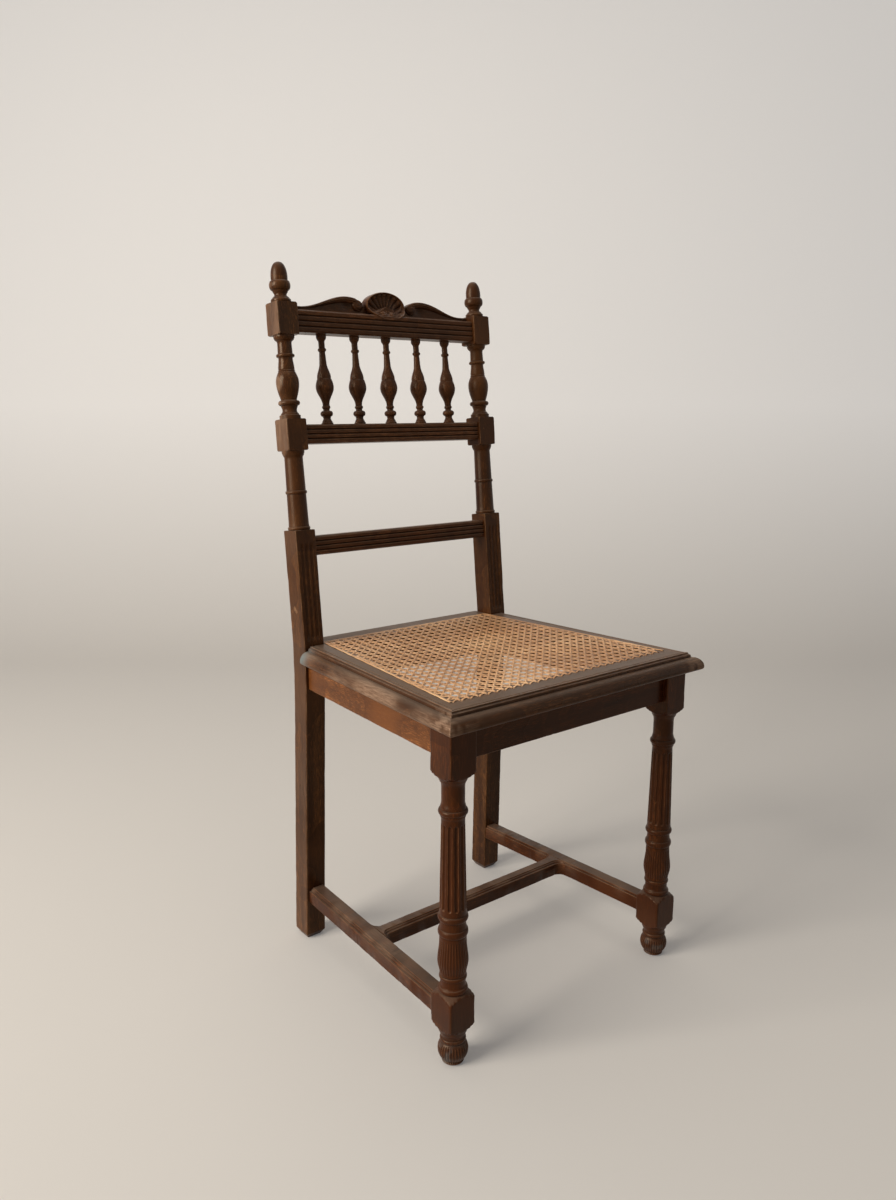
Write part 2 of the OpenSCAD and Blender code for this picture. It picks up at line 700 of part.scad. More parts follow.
module seat_frame_front() color(WALNUT) difference() {
    intersection() {
        translate([-big/2, -front_over, 0]) rotate([0, 0, -90]) moulded_bar(big, stock_w);
        translate([0, 0, deck_z - spare]) linear_extrude(frame_t + 2*spare) polygon([
            [-nose_front, -front_over], [nose_front, -front_over],
            [open_x(open_fy), open_fy], [-open_x(open_fy), open_fy]]);
    }
    for (i = [0:front_holes]) cane_hole((i - front_holes/2)*cane_pitch, cane_front);
    both() peg_hole(front_peg);
}

module seat_frame_side() color(WALNUT) {
    edge_a = atan((nose_front - nose_rear)/(seat_d + front_over));
    difference() {
        intersection() {
            translate([nose_front, -front_over, 0]) rotate([0, 0, edge_a])
                translate([0, -stock_end, 0]) moulded_bar(frame_back + front_over + 2*stock_end, stock_w);
            translate([0, 0, deck_z - spare]) linear_extrude(frame_t + 2*spare) polygon([
                [nose_front, -front_over], [nose_rear, seat_d], [post_in, seat_d], [post_in, open_ry],
                [open_x(open_ry), open_ry], [open_x(open_fy), open_fy]]);
        }
        for (i = [1:side_holes - 2]) let (y = cane_front + i*cane_pitch) cane_hole(cane_x(y), y);
        for (at = side_pegs) peg_hole(at);
    }
}

module seat_frame_rear() color(WALNUT) difference() {
    translate([-post_in, open_ry, deck_z]) cube([2*post_in, frame_back - open_ry, frame_t]);
    for (i = [0:rear_holes]) cane_hole((i - rear_holes/2)*cane_pitch, cane_ry);
    both() peg_hole(rear_peg);
}

// ---- cane: a plain sheet over the opening, with the plaited strands' thickness ----

cane_lap = 2;                               // how far the sheet reaches past the holes' axes

module cane_seat() color(CANE) translate([0, 0, seat_h]) linear_extrude(cane_t) polygon([
    [-cane_fx - cane_lap, cane_front - cane_lap], [cane_fx + cane_lap, cane_front - cane_lap],
    [cane_rx + cane_lap, cane_ry + cane_lap], [-cane_rx - cane_lap, cane_ry + cane_lap]]);

// ---- stretchers ----

// Section of a side stretcher as [x from its middle, height], with a stepped outer edge
function stretcher_section() = let (w = stretcher_w/2, h = stretcher_h) [
    [-w, 0.5], [-w, h - 2.5], [-w + 2, h], [w - 5.5, h], [w - 5.5, h - 1.2], [w - 3.6, h - 1.8],
    [w - 2.4, h - 3.4], [w, h - 3.4], [w, 0.5], [w - 0.5, 0], [-w + 0.5, 0]];

module stretcher_bar(l)
    translate([stretcher_fx, block, stretcher_z]) rotate([0, 0, stretcher_a])
        rotate([90, 0, 180]) mirror([1, 0, 0]) translate([0, 0, -stretcher_reach])
            linear_extrude(l + 2*stretcher_reach) polygon(stretcher_section());

module stretcher_tenon_front(gap)
    translate([stretcher_fx, block, stretcher_z]) rotate([0, 0, stretcher_a - 90])
        tenon(stretcher_h, tenon_l, gap);
module stretcher_tenon_rear(gap)
    translate([stretcher_rx, stretcher_ry, stretcher_z]) rotate([0, 0, stretcher_a + 90])
        translate([-3, 0, 0]) tenon(stretcher_h, tenon_l + 3, gap);

stretcher_reach = 10;                       // extra length at each end, which the legs' faces cut off

// The straight bar that the side stretcher's section is cut from
module stretcher_blank()
    translate([stretcher_fx, block, stretcher_z - 1]) rotate([0, 0, stretcher_a])
        translate([-stretcher_w/2, 0, 0])
            cube([stretcher_w, stretcher_ry - block + stretcher_reach, stretcher_h + 2]);

module stretcher_side() color(WALNUT) {
    difference() {
        stretcher_bar(stretcher_ry - block);
        stick_below();
        translate([0, block - big, 0]) cube([big, big, big/2]);
        cross_tenon(glue);
    }
    stretcher_tenon_front(0);
    stretcher_tenon_rear(0);
}

module cross_tenon(gap)
    translate([stretcher_x(cross_y) - stretcher_w/2/cos(stretcher_a), cross_y, stretcher_z])
        tenon(stretcher_h, tenon_l - 1, gap);

// The cross stretcher's half plan, with the hollow flare at its end
module cross_plan() {
    end_x = stretcher_x(cross_y) - stretcher_w/2;
    reach = 3;
    difference() {
        translate([0, -cross_w/2 - cross_flare]) square([end_x + reach, cross_w + 2*cross_flare]);
        for (s = [-1, 1]) {
            translate([end_x - cross_flare, s*(cross_w/2 + cross_flare)]) circle(r = cross_flare, $fn = 48);
            translate([-1, s*(cross_w/2 + cross_flare) - cross_flare])
                square([end_x - cross_flare + 1, 2*cross_flare]);
        }
    }
}

module stretcher_cross() color(WALNUT) {
    both() {
        difference() {
            translate([0, cross_y, stretcher_z]) linear_extrude(stretcher_h) cross_plan();
            stretcher_blank();
        }
        cross_tenon(0);
    }
}

place() flipped() front_leg();  // front_leg_left
place() front_leg();  // front_leg_right
place() flipped() rear_post();  // rear_post_left
place() rear_post();  // rear_post_right
place() flipped() finial();  // finial_left
place() finial();  // finial_right
place() crest_rail();
place() gallery_rail();
place() lower_back_rail();
place() spindle(-2);  // spindle_1
place() spindle(-1);  // spindle_2
place() spindle(0);  // spindle_3
place() spindle(1);  // spindle_4
place() spindle(2);  // spindle_5
place() seat_rail_front();
place() seat_rail_rear();
place() flipped() seat_rail_side();  // seat_rail_left
place() seat_rail_side();  // seat_rail_right
place() corner_blocks_front();
place() corner_blocks_rear();
place() frame_dowels();
place() seat_frame_front();
place() seat_frame_rear();
place() flipped() seat_frame_side();  // seat_frame_left
place() seat_frame_side();  // seat_frame_right
place() cane_seat();
place() flipped() stretcher_side();  // stretcher_left
place() stretcher_side();  // stretcher_right
place() stretcher_cross();
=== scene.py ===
"""Looks of a carved and turned walnut side chair with a hand-caned seat.

Shapes are drawn in millimetres in the chair's own frame: x across, y back from the front faces of the
front legs, z up. to_mesh() turns them to metres in the row frame.
"""
import math

import bpy
import numpy as np
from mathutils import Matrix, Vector

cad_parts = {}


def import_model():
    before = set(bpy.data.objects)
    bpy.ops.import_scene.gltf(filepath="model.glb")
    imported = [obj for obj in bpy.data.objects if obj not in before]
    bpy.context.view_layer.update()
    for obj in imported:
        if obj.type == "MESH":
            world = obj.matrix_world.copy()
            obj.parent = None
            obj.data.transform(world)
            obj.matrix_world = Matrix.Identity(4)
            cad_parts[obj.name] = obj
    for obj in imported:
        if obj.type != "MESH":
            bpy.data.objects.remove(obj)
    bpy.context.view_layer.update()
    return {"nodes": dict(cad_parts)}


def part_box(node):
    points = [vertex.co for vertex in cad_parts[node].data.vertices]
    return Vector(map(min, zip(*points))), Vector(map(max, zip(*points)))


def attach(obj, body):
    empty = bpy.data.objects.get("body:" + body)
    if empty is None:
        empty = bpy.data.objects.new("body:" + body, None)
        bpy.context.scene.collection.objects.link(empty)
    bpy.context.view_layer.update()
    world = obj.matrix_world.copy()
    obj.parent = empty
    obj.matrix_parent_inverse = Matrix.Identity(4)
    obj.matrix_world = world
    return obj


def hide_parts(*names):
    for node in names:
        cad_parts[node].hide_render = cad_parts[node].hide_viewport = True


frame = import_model()

# ---- sizes, from the frame ----

MM = 0.001
FRONT_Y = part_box("front_leg_left")[0].y


def box(node):
    """Lowest and highest corner of a CAD node, in millimetres in the chair's own frame."""
    lo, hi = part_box(node)
    shift = np.array([0, FRONT_Y, 0])
    return (np.array(lo) - shift) / MM, (np.array(hi) - shift) / MM


leg_lo, leg_hi = box("front_leg_right")
BLOCK = leg_hi[0] - leg_lo[0]
LEG_X = (leg_lo[0] + leg_hi[0]) / 2
LEG_Y = BLOCK / 2
DECK = leg_hi[2]   # underside of the seat frame
SEAT = box("seat_frame_front")[1][2]
FRAME_T = SEAT - DECK
NOSE_FRONT = box("seat_frame_front")[1][0]
FRONT_OVER = -box("seat_frame_front")[0][1]

TENON = 15.0       # length of the tenons on the ends of the rear rail
LAP = 0.5          # how far a piece runs into its neighbour
POST_W, POST_D = 32.0, 33.5
SEAT_D = box("seat_frame_right")[1][1]
REAR_W = 2 * (box("seat_rail_rear")[1][0] - TENON + POST_W)
POST_X = REAR_W / 2 - POST_W / 2
POST_Y = SEAT_D + POST_D / 2
POST_IN = REAR_W / 2 - POST_W
RAKE = math.radians(5.6)
FOOT_KICK, FOOT_SPLAY = 14.0, 3.4
RAIL_Z = box("seat_rail_right")[0][2]
FRONT_RAIL_Z = box("seat_rail_front")[0][2]
KNEE = RAIL_Z - 5

# ---- small helpers on arrays ----


def bead(z0, z1, r0, r1, n=9):
    """Round bead between two heights that stands out from r0 to r1, as (radius, height)."""
    a = np.linspace(0, math.pi, n)
    return [(r0 + (r1 - r0) * s, (z0 + z1) / 2 - (z1 - z0) / 2 * c) for s, c in zip(np.sin(a), np.cos(a))]


def flow(z0, r0, z1, r1, n=9):
    """Smooth flow from one radius to another."""
    return [(r0 + (r1 - r0) * (1 - math.cos(math.pi * t)) / 2, z0 + (z1 - z0) * t)
            for t in np.linspace(0, 1, n)]


def swell(z0, r0, z1, r1, n=10):
    """Quarter round from one radius to another, level at the larger one."""
    t = np.linspace(0, math.pi / 2, n)
    share = np.sin(t) if r1 > r0 else 1 - np.cos(t)
    return [(r0 + (r1 - r0) * s, z) for s, z in zip(share, np.linspace(z0, z1, n))]


def dense(points, step):
    """The same line with no stretch longer than step."""
    out = [points[0]]
    for p, q in zip(points[:-1], points[1:]):
        d = math.dist(p, q)
        if d < 0.02:
            continue
        n = max(1, math.ceil(d / step))
        out += [tuple(a + (b - a) * k / n for a, b in zip(p, q)) for k in range(1, n + 1)]
    return np.array(out)


def noise(p, scale, seed=0):
    """Smooth value noise from -1 to 1 at the points p."""
    q = np.asarray(p, float) / scale + seed * 17.31
    i = np.floor(q).astype(np.int64)
    f = q - i
    f = f * f * (3 - 2 * f)
    total = 0
    for corner in range(8):
        d = np.array([corner & 1, corner >> 1 & 1, corner >> 2 & 1])
        k = (i + d) @ np.array([374761393, 668265263, 1442695041])
        k = (k ^ (k >> 13)) * 1274126177
        k = (k ^ (k >> 16)) & 0xFFFF
        weight = np.prod(np.where(d, f, 1 - f), axis=-1)
        total = total + weight * (k / 32767.5 - 1)
    return total


def smooth(a, b, x):
    t = np.clip((x - a) / (b - a), 0, 1)
    return t * t * (3 - 2 * t)


def soften(points, radius, arc=3):
    """A closed outline with its corners rounded, and a support point beside each arc."""
    p = np.array(points, float)
    out = []
    for k in range(len(p)):
        a, b, c = p[k - 1], p[k], p[(k + 1) % len(p)]
        u, v = (a - b) / np.linalg.norm(a - b), (c - b) / np.linalg.norm(c - b)
        turn = math.pi - math.acos(np.clip(u @ v, -1, 1))
        if turn < 0.2:
            out.append(b)
            continue
        cut = min(radius * math.tan(turn / 2), 0.42 * np.linalg.norm(a - b), 0.42 * np.linalg.norm(c - b))
        out.append(b + u * cut * 1.35)
        for t in np.linspace(0, 1, arc + 1):
            out.append(b + u * cut * (1 - t) ** 2 + v * cut * t ** 2)
        out.append(b + v * cut * 1.35)
    return np.array(out)


def stations(a, b, step):
    return np.linspace(a, b, max(2, math.ceil(abs(b - a) / step) + 1))


def ridge(x, middle, width):
    """A soft ridge, 1 high at its middle."""
    return np.exp(-((x - middle) / width) ** 2)


def dome(x):
    """Height of a half round at x, which is 1 at its edge."""
    return np.sqrt(np.maximum(1 - x ** 2, 0))


def points_at(x, y, z):
    """Points from coordinates that may be arrays or single numbers."""
    return np.stack(np.broadcast_arrays(x, y, z), -1)


# ---- meshes ----


def loft(rings):
    """Skin over rings of points, (n, m, 3), with both ends closed."""
    rings = np.asarray(rings, float)
    n, m = rings.shape[:2]
    i, j = np.meshgrid(np.arange(n - 1), np.arange(m), indexing="ij")
    a, b = i * m + j, i * m + (j + 1) % m
    quads = np.stack([a, b, b + m, a + m], -1).reshape(-1, 4)
    verts = np.vstack([rings.reshape(-1, 3), rings[0].mean(0), rings[-1].mean(0)])
    k = np.arange(m)
    low = np.stack([np.full(m, n * m), (k + 1) % m, k], -1)
    top = np.stack([np.full(m, n * m + 1), (n - 1) * m + k, (n - 1) * m + (k + 1) % m], -1)
    return verts, [quads, low, top]


def join(*parts):
    verts, faces, at = [], [], 0
    for v, f in parts:
        verts.append(v)
        faces += [q + at for q in f]
        at += len(v)
    return np.vstack(verts), faces


def mirrored(part):
    verts, faces = part
    return verts * [-1, 1, 1], faces


def to_mesh(name, part):
    verts, faces = part
    tris = np.vstack([f if f.shape[1] == 3 else np.vstack([f[:, :3], f[:, [0, 2, 3]]]) for f in faces])
    a, b, c = verts[tris[:, 0]], verts[tris[:, 1]], verts[tris[:, 2]]
    inside_out = np.einsum("ij,ij->i", a, np.cross(b, c)).sum() < 0
    mesh = bpy.data.meshes.new(name)
    points = verts * MM + np.array([0, FRONT_Y, 0])
    mesh.from_pydata(points.tolist(), [], [q[::-1] if inside_out else q for f in faces for q in f.tolist()])
    return mesh


def show(thing):
    bpy.context.scene.collection.objects.link(thing)


def drilled(mesh, centres, radius, z0, z1):
    """The mesh with round holes from z0 to z1, at (x, y) centres in millimetres."""
    ring = [(radius * math.cos(a), radius * math.sin(a)) for a in np.linspace(0, 2 * math.pi, 13)[:-1]]
    cutters = join(*[loft([[(x + u, y + v, z) for u, v in ring] for z in (z0, z1)]) for x, y in centres])
    body, tool = (bpy.data.objects.new(n, m) for n, m in (("body", mesh), ("tool", to_mesh("tool", cutters))))
    for o in (body, tool):
        show(o)
    cut = body.modifiers.new("holes", "BOOLEAN")
    cut.operation, cut.solver, cut.object = "DIFFERENCE", "EXACT", tool
    bpy.context.view_layer.update()
    result = bpy.data.meshes.new_from_object(body.evaluated_get(bpy.context.evaluated_depsgraph_get()))
    for o in (body, tool):
        bpy.data.objects.remove(o)
    return result


def curvature(points, normals, edges):
    """How far each point stands out of (negative) or lies in (positive) its neighbours, per millimetre."""
    total, count = np.zeros(len(points)), np.zeros(len(points))
    for i, j in ((edges[:, 0], edges[:, 1]), (edges[:, 1], edges[:, 0])):
        d = points[j] - points[i]
        bend = np.einsum("ij,ij->i", normals[i], d) / np.maximum(np.einsum("ij,ij->i", d, d), 0.04)
        np.add.at(total, i, bend)
        np.add.at(count, i, 1)
    k = total / np.maximum(count, 1)
    for _ in range(2):
        spread = np.zeros(len(points))
        np.add.at(spread, edges[:, 0], k[edges[:, 1]])
        np.add.at(spread, edges[:, 1], k[edges[:, 0]])
        k = 0.5 * k + 0.5 * spread / np.maximum(count, 1)
    return k


CHIP = 0.45        # depth of the chips along an arris
WAVE = 0.07        # unevenness of hand-planed faces


def spot(co, centre, radius, strength=1.0):
    """A soft round patch about a point, in millimetres."""
    d = np.linalg.norm((co - np.array(centre)) / radius, axis=1)
    return strength * np.exp(-d ** 2)


def no_marks(co):
    """Rubbed places, and greyed places with painted shade, of a piece that has none."""
    return np.zeros(len(co)), np.zeros(len(co))


def read(items, label, width, kind=float):
    """One value of every item in a mesh's list, as rows."""
    values = np.empty(len(items) * width, kind)
    items.foreach_get(label, values)
    return values.reshape(-1, width)


def make_piece(name, part, nodes, slot, material, wear=1.0, holes=None, sharp=40, marks=no_marks):
    """Makes the object: worn arrises, its attributes for the finish and for its painted shade and highlights,
    its place in the frame.
    """
    mesh = to_mesh(name, part)
    if holes:
        mesh = drilled(mesh, *holes)
        mesh.name = name
    co = read(mesh.vertices, "co", 3) / MM - [0, FRONT_Y / MM, 0]
    normals = read(mesh.vertex_normals, "vector", 3)
    k = curvature(co, normals, read(mesh.edges, "vertices", 2, int))
    # In the walnut finish arris places take pale wear and painted highlights, hollow places grime and painted
    # shade.
    arris = smooth(0.05, 0.35, -k)
    hollow = smooth(0.04, 0.30, k)
    if wear:
        chips = CHIP * arris * smooth(0.15, 0.6, noise(co, 5, 3) * 0.6 + noise(co, 19, 4) * 0.6)
        co = co - normals * (wear * (chips + WAVE * (1 + noise(co, 22, 5)) * 0.5))[:, None]
        mesh.vertices.foreach_set("co", ((co + [0, FRONT_Y / MM, 0]) * MM).ravel())
    # The second set of marks holds grey marks and, on the cane, painted shade.
    rubbed, greyed_and_shaded = marks(co)
    for label, values in (("arris", arris), ("hollow", hollow), ("rubbed", rubbed), ("greyed_and_shaded", greyed_and_shaded)):
        mesh.attributes.new(label, "FLOAT", "POINT").data.foreach_set("value", values.astype(np.float32))
    mesh.shade_smooth()
    mesh.set_sharp_from_angle(angle=math.radians(sharp))
    mesh.materials.append(material)
    piece = bpy.data.objects.new(name, mesh)
    show(piece)
    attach(piece, "root")
    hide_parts(*nodes)
    return piece


# ---- turned and squared sticks ----

LEG_ANGLES = np.arange(224) * 2 * math.pi / 224


def post_angles():
    """Angles round a square stick, closer together towards its corners and across its fluted front."""
    sides = []
    for quarter, n in ((0, 18), (1, 18), (2, 18), (3, 44)):
        t = np.arange(n) * 2 / n - 1
        sides.append(np.arctan(np.sin(t * math.pi / 2)) + quarter * math.pi / 2)
    return np.concatenate(sides)


POST_ANGLES = post_angles()


def rectangle(angles, a, b, p):
    """Distance from the middle to a rectangle with rounded corners, at each angle; p may vary by corner."""
    return ((np.abs(np.cos(angles)) / a) ** p + (np.abs(np.sin(angles)) / b) ** p) ** (-1 / p)


def corner_power(angles, z, seed):
    """Sharpness of the four arrises at height z: lower where they are more worn."""
    at = points_at(np.cos(angles) * 30, np.sin(angles) * 30, z)
    return 30 + 17 * noise(at, 17, seed)


def groove(across, along, radius, depth):
    """Depth of a round-bottomed flute at a distance across its line and beyond its end."""
    d2 = across ** 2 + along ** 2
    return np.maximum(0, np.sqrt(np.maximum(radius ** 2 - d2, 0)) - (radius - depth))


def past(z, low, high):
    return max(low - z, 0, z - high)


# Front legs
LOW_BLOCK, LOW_BLOCK_TOP = 53.5, 92.0
UP_BLOCK = DECK - 57
BALL = 19.2
RING_1 = UP_BLOCK - 48.5
RING_2 = LOW_BLOCK_TOP + 104
RING_3 = RING_2 - 19
BODY = LOW_BLOCK_TOP + 46
FLUTE_FOOT, FLUTE_TOP = RING_2 + 11, RING_1 - 15
REED_FOOT, REED_TOP = LOW_BLOCK_TOP + 30.5, RING_3 - 8
FLUTES, FLUTE_TURN = 12, math.radians(24)
REEDS, GADROONS = 32, 32
FLUTE_R, FLUTE_DEPTH, FLUTE_STEP = 2.6, 1.7, 7.6
CORNER = BLOCK / 2 * math.sqrt(2) + 0.3


def leg_outline():
    foot, low, up = LOW_BLOCK, LOW_BLOCK_TOP, UP_BLOCK
    ball = [(BALL * math.cos(a), 18.4 + BALL * math.sin(a) * 0.95) for a in np.radians(np.arange(-50, 41, 5))]
    return ([(BALL * 0.5, 0), (BALL * 0.72, 2.5)] + ball
            + bead(30.5, 35.5, 14.8, 16.4) + flow(36.5, 14.9, foot - 7, 18.2)
            + [(19.4, foot - 5), (CORNER, foot + 1), (CORNER, low - 1.5), (19.5, low + 4), (17.6, low + 5.5)]
            + bead(low + 6, low + 12.5, 16.4, 18.3) + flow(low + 14, 15.5, low + 22, 15.6)
            + bead(low + 23, low + 28, 15.8, 17.2)
            + flow(low + 29.5, 16.4, BODY, 19.1) + flow(BODY, 19.1, BODY + 26, 16.8, 14)
            + bead(RING_3 - 4.5, RING_3 + 4.5, 16.6, 18.6) + flow(RING_3 + 5, 16.4, RING_3 + 12, 15.8)
            + bead(RING_2 - 4, RING_2 + 4, 16, 18.7) + flow(RING_2 + 4.5, 16.8, RING_2 + 11, 16.5)
            + [(14.3, FLUTE_TOP + 4)] + flow(RING_1 - 10, 14.3, RING_1 - 4.5, 15.6)
            + bead(RING_1 - 3.5, RING_1 + 3.5, 15.6, 17.9) + flow(RING_1 + 4, 15.6, RING_1 + 12, 14.1)
            + [(14.1, up - 17), (14.6, up - 13.5), (16, up - 11), (17, up - 9), (17.6, up - 6.8),
               (19, up - 5.6), (CORNER, up), (CORNER, DECK)])


def leg_line():
    """The outline with close points where flutes and reeds end."""
    out = []
    line = dense(leg_outline(), 3.6)
    for p, q in zip(line[:-1], line[1:]):
        ends = (FLUTE_FOOT, FLUTE_TOP, REED_FOOT, REED_TOP)
        near = min(abs((p[1] + q[1]) / 2 - e) for e in ends) < 4.5
        out += [p] if not near else [p + (q - p) * t for t in (0, 0.33, 0.67)]
    return out + [line[-1]]


def front_leg(seed):
    rings = []
    for r, z in leg_line():
        turned = np.full(len(LEG_ANGLES), r)
        if FLUTE_FOOT - 1 < z < FLUTE_TOP + 1:
            pitch = 2 * math.pi / FLUTES
            off = ((LEG_ANGLES - FLUTE_TURN) / pitch + 0.5) % 1 - 0.5
            along = past(z, FLUTE_FOOT + FLUTE_R, FLUTE_TOP - FLUTE_R)
            turned = turned - groove(off * pitch * r, along, FLUTE_R, FLUTE_DEPTH)
        reeding = smooth(REED_FOOT, REED_FOOT + 3, z) * (1 - smooth(REED_TOP - 3, REED_TOP, z))
        turned = turned - 0.6 * reeding * (1 - np.abs(np.sin(LEG_ANGLES * REEDS / 2)))
        lobes = smooth(1, 6, z) * (1 - smooth(25, 29, z))
        turned = turned - 0.95 * lobes * (1 - np.abs(np.sin(LEG_ANGLES * GADROONS / 2)) ** 0.7)
        square = rectangle(LEG_ANGLES, BLOCK / 2, BLOCK / 2, corner_power(LEG_ANGLES, z, seed))
        reach = np.minimum(turned, square)
        rings.append(points_at(LEG_X + reach * np.cos(LEG_ANGLES), LEG_Y + reach * np.sin(LEG_ANGLES), z))
    return loft(rings)


# Rear posts, measured along the leaning stick from the seat
SQUARE = 163.0
MID, TOP, BACK_BLOCK = 274.0, 431.5, 43.5
POST_L = TOP + BACK_BLOCK
MID_TOP = MID + BACK_BLOCK
BULB = MID_TOP + 50
FULL = 60.0        # a radius that leaves the whole square


def post_outline():
    c = POST_D / 2 * math.sqrt(2) + 0.3
    sq, mid = SQUARE, MID_TOP
    return ([(FULL, 1), (FULL, sq - 1.4), (22.4, sq - 0.4), (21, sq), (15.6, sq + 0.2)]
            + bead(sq + 0.3, sq + 5, 14.6, 15.9) + [(14.3, sq + 9), (13.7, sq + 49)]
            + bead(sq + 50.5, sq + 55.5, 13.6, 15.2) + [(13.6, sq + 58), (13, MID - 13)]
            + flow(MID - 10, 13, MID - 5, 15) + [(15.9, MID - 3), (15.9, MID - 0.2)]
            + [(c - 3, MID), (c, MID + 2.5), (c, mid - 2.5), (c - 3, mid), (14.8, mid + 0.2), (14.8, mid + 5)]
            + flow(mid + 6, 13, mid + 11, 10.2) + flow(mid + 13, 10.2, mid + 18, 11.6)
            + bead(mid + 18.5, mid + 25.5, 12, 15.2)
            + swell(mid + 26.5, 11, BULB, 16, 14) + swell(BULB + 1, 16, BULB + 14, 12.3, 12)
            + [(11.5, BULB + 14.8), (12, BULB + 15.8), (11.2, BULB + 17)]
            + flow(BULB + 18, 11.4, TOP - 31, 10) + bead(TOP - 30, TOP - 25, 10.4, 13)
            + [(10.4, TOP - 24), (10, TOP - 11)]
            + flow(TOP - 9.5, 10.2, TOP - 5, 13.8) + [(14.6, TOP - 3.5), (14.6, TOP - 0.2)]
            + [(c - 3, TOP), (c, TOP + 2.5), (c, POST_L - 2.5), (c - 3, POST_L)])


def leaning(u, d, w):
    """Point at u across, d behind and w up the leaning back, about the middle of the posts' line."""
    return points_at(u, POST_Y + d * math.cos(RAKE) + w * math.sin(RAKE),
                     SEAT - d * math.sin(RAKE) + w * math.cos(RAKE))


def rear_post(seed):
    a, b = POST_W / 2, POST_D / 2
    angles = POST_ANGLES
    cos, sin = np.cos(angles), np.sin(angles)
    rings = []
    for z in np.concatenate([[0, 2, 4, 6, 8], stations(10, KNEE, 6), stations(KNEE + 4, SEAT - 4, 6)]):
        cut = 5 * (1 - z / 8) if z < 8 else 0
        reach = rectangle(angles, a - cut, b - cut, corner_power(angles, z, seed))
        t = max(0, 1 - z / KNEE)
        rings.append(points_at(POST_X + FOOT_SPLAY * t + reach * cos,
                               POST_Y + FOOT_KICK * t + reach * sin, z))
    reach = rectangle(angles, a, b, corner_power(angles, SEAT, seed))
    rings.append(points_at(POST_X + reach * cos, POST_Y + reach * sin,
                           SEAT - reach * sin * math.tan(RAKE / 2)))
    for r, w in dense(post_outline(), 3.2):
        reach = np.minimum(r, rectangle(angles, a, b, corner_power(angles, SEAT + w, seed)))
        u, d = reach * cos, reach * sin
        if w < SQUARE - 15:
            along = past(w, 8 + FLUTE_R, SQUARE - 22 - FLUTE_R)
            cut = sum(groove(u - k * FLUTE_STEP, along, FLUTE_R, FLUTE_DEPTH) for k in (-1, 0, 1))
            d = d + np.where(d < 1 - b, cut, 0)
        rings.append(leaning(POST_X + u, d, w))
    return loft(rings)


def lathe(outline, x, d, w0, around=48, step=2.2):
    """A turned piece whose axis leans with the back."""
    t = np.arange(around) * 2 * math.pi / around
    return loft([leaning(x + r * np.cos(t), d + r * np.sin(t), w0 + z) for r, z in dense(outline, step)])


def finial_outline():
    """Foot, cup and nut of the acorn."""
    height, cup, nut, middle = 55.0, 14.7, 11.6, 34.5
    turns = np.radians(np.arange(-24, 88, 4))
    return ([(13, 0)] + bead(0.5, 5, 13, 14) + flow(6, 12, 10, 8.6) + flow(11, 8.6, 15.5, 10.6)
            + [(11.4, 16.2)] + bead(17, 29.5, cup - 3.0, cup, 13) + [(10.7, 29.9), (10.5, 30.8)]
            + [(nut * math.cos(a) ** 0.8, middle + (height - middle) * math.sin(a)) for a in turns]
            + [(0.4, height)])


# Each back rail's underside above the seat, its depth and its height
GALLERY_W, GALLERY_D, GALLERY_H = 282.5, 27, 27
LOWER_W, LOWER_D, LOWER_H = 125.5, 22, 27.5
SPINDLE_FOOT = GALLERY_W + GALLERY_H
BAND_W = TOP + 4   # underside of the crest rail
RAIL_FRONT = -POST_D / 2 + 4
SPINDLE_D = RAIL_FRONT + 13.5 + 3
SPINDLE_PITCH = 56.0


def spindle_outline():
    top, bulb = BAND_W - SPINDLE_FOOT, 53
    return ([(8.4, -0.5), (8.6, 0.4), (8.6, 2.5)] + flow(3, 7.6, 9, 5.4) + bead(11.5, 19.5, 6, 9.1)
            + flow(20.5, 4.6, 22.5, 4.8, 3) + bead(22.5, 27, 4.8, 6.1)
            + flow(28, 5, bulb, 13, 16) + swell(bulb, 13, bulb + 11, 10.6, 10)
            + [(9.9, bulb + 11.8), (10.2, bulb + 12.6)] + flow(bulb + 13, 10.1, bulb + 34, 5.2, 12)
            + [(4.3, top - 24)] + bead(top - 23, top - 18.5, 4.6, 6.1) + [(4.5, top - 17.5), (4.5, top - 10)]
            + flow(top - 9.5, 4.6, top - 4.5, 7) + [(7.3, top - 3.5), (7.3, top + 0.5)])


# ---- rails of the back ----


def reeded_section(depth, height, grooves, cut=1.8):
    """(depth, height) of a rail whose front face is reeded."""
    h = np.linspace(0.6, height - 0.6, 16 * (grooves + 1) + 1)
    wave = np.abs(np.sin(math.pi * (h - 0.6) / (height - 1.2) * (grooves + 1)))
    front = list(zip(cut * (1 - smooth(0.08, 0.72, wave)), h))
    back = soften([(2, height), (depth, height), (depth, 0), (2, 0)], 1.2)
    return np.array(front + list(back))


def back_rail(w, depth, height):
    s = reeded_section(depth, height, 3)
    xs = stations(-POST_IN - LAP, POST_IN + LAP, 3)
    return loft([leaning(x, RAIL_FRONT + s[:, 0], w + s[:, 1]) for x in xs])


BAND_H, BAND_D, BOARD_T = 31.0, 24.0, 9.0
BOARD_FRONT = RAIL_FRONT + BAND_D - BOARD_T
EDGE_W = POST_L - 1.5   # straight top edge of the board
SHELL_HALF, SHELL_RISE = 37.0, 28.0
SCROLL_X, SCROLL_RISE = 66.0, 18.0


def crest_top(x):
    """Height of the board's silhouette above its straight edge."""
    x = np.abs(x)
    middle = SHELL_RISE * dome(x / SHELL_HALF)
    near = 4 + 14 * dome((x - SCROLL_X) / (SCROLL_X - SHELL_HALF))
    far = SCROLL_RISE * (1 + np.cos(np.pi * np.clip((x - SCROLL_X) / 78, 0, 1))) / 2
    return np.maximum(middle, np.where(x < SCROLL_X, near * (x > SHELL_HALF), far))


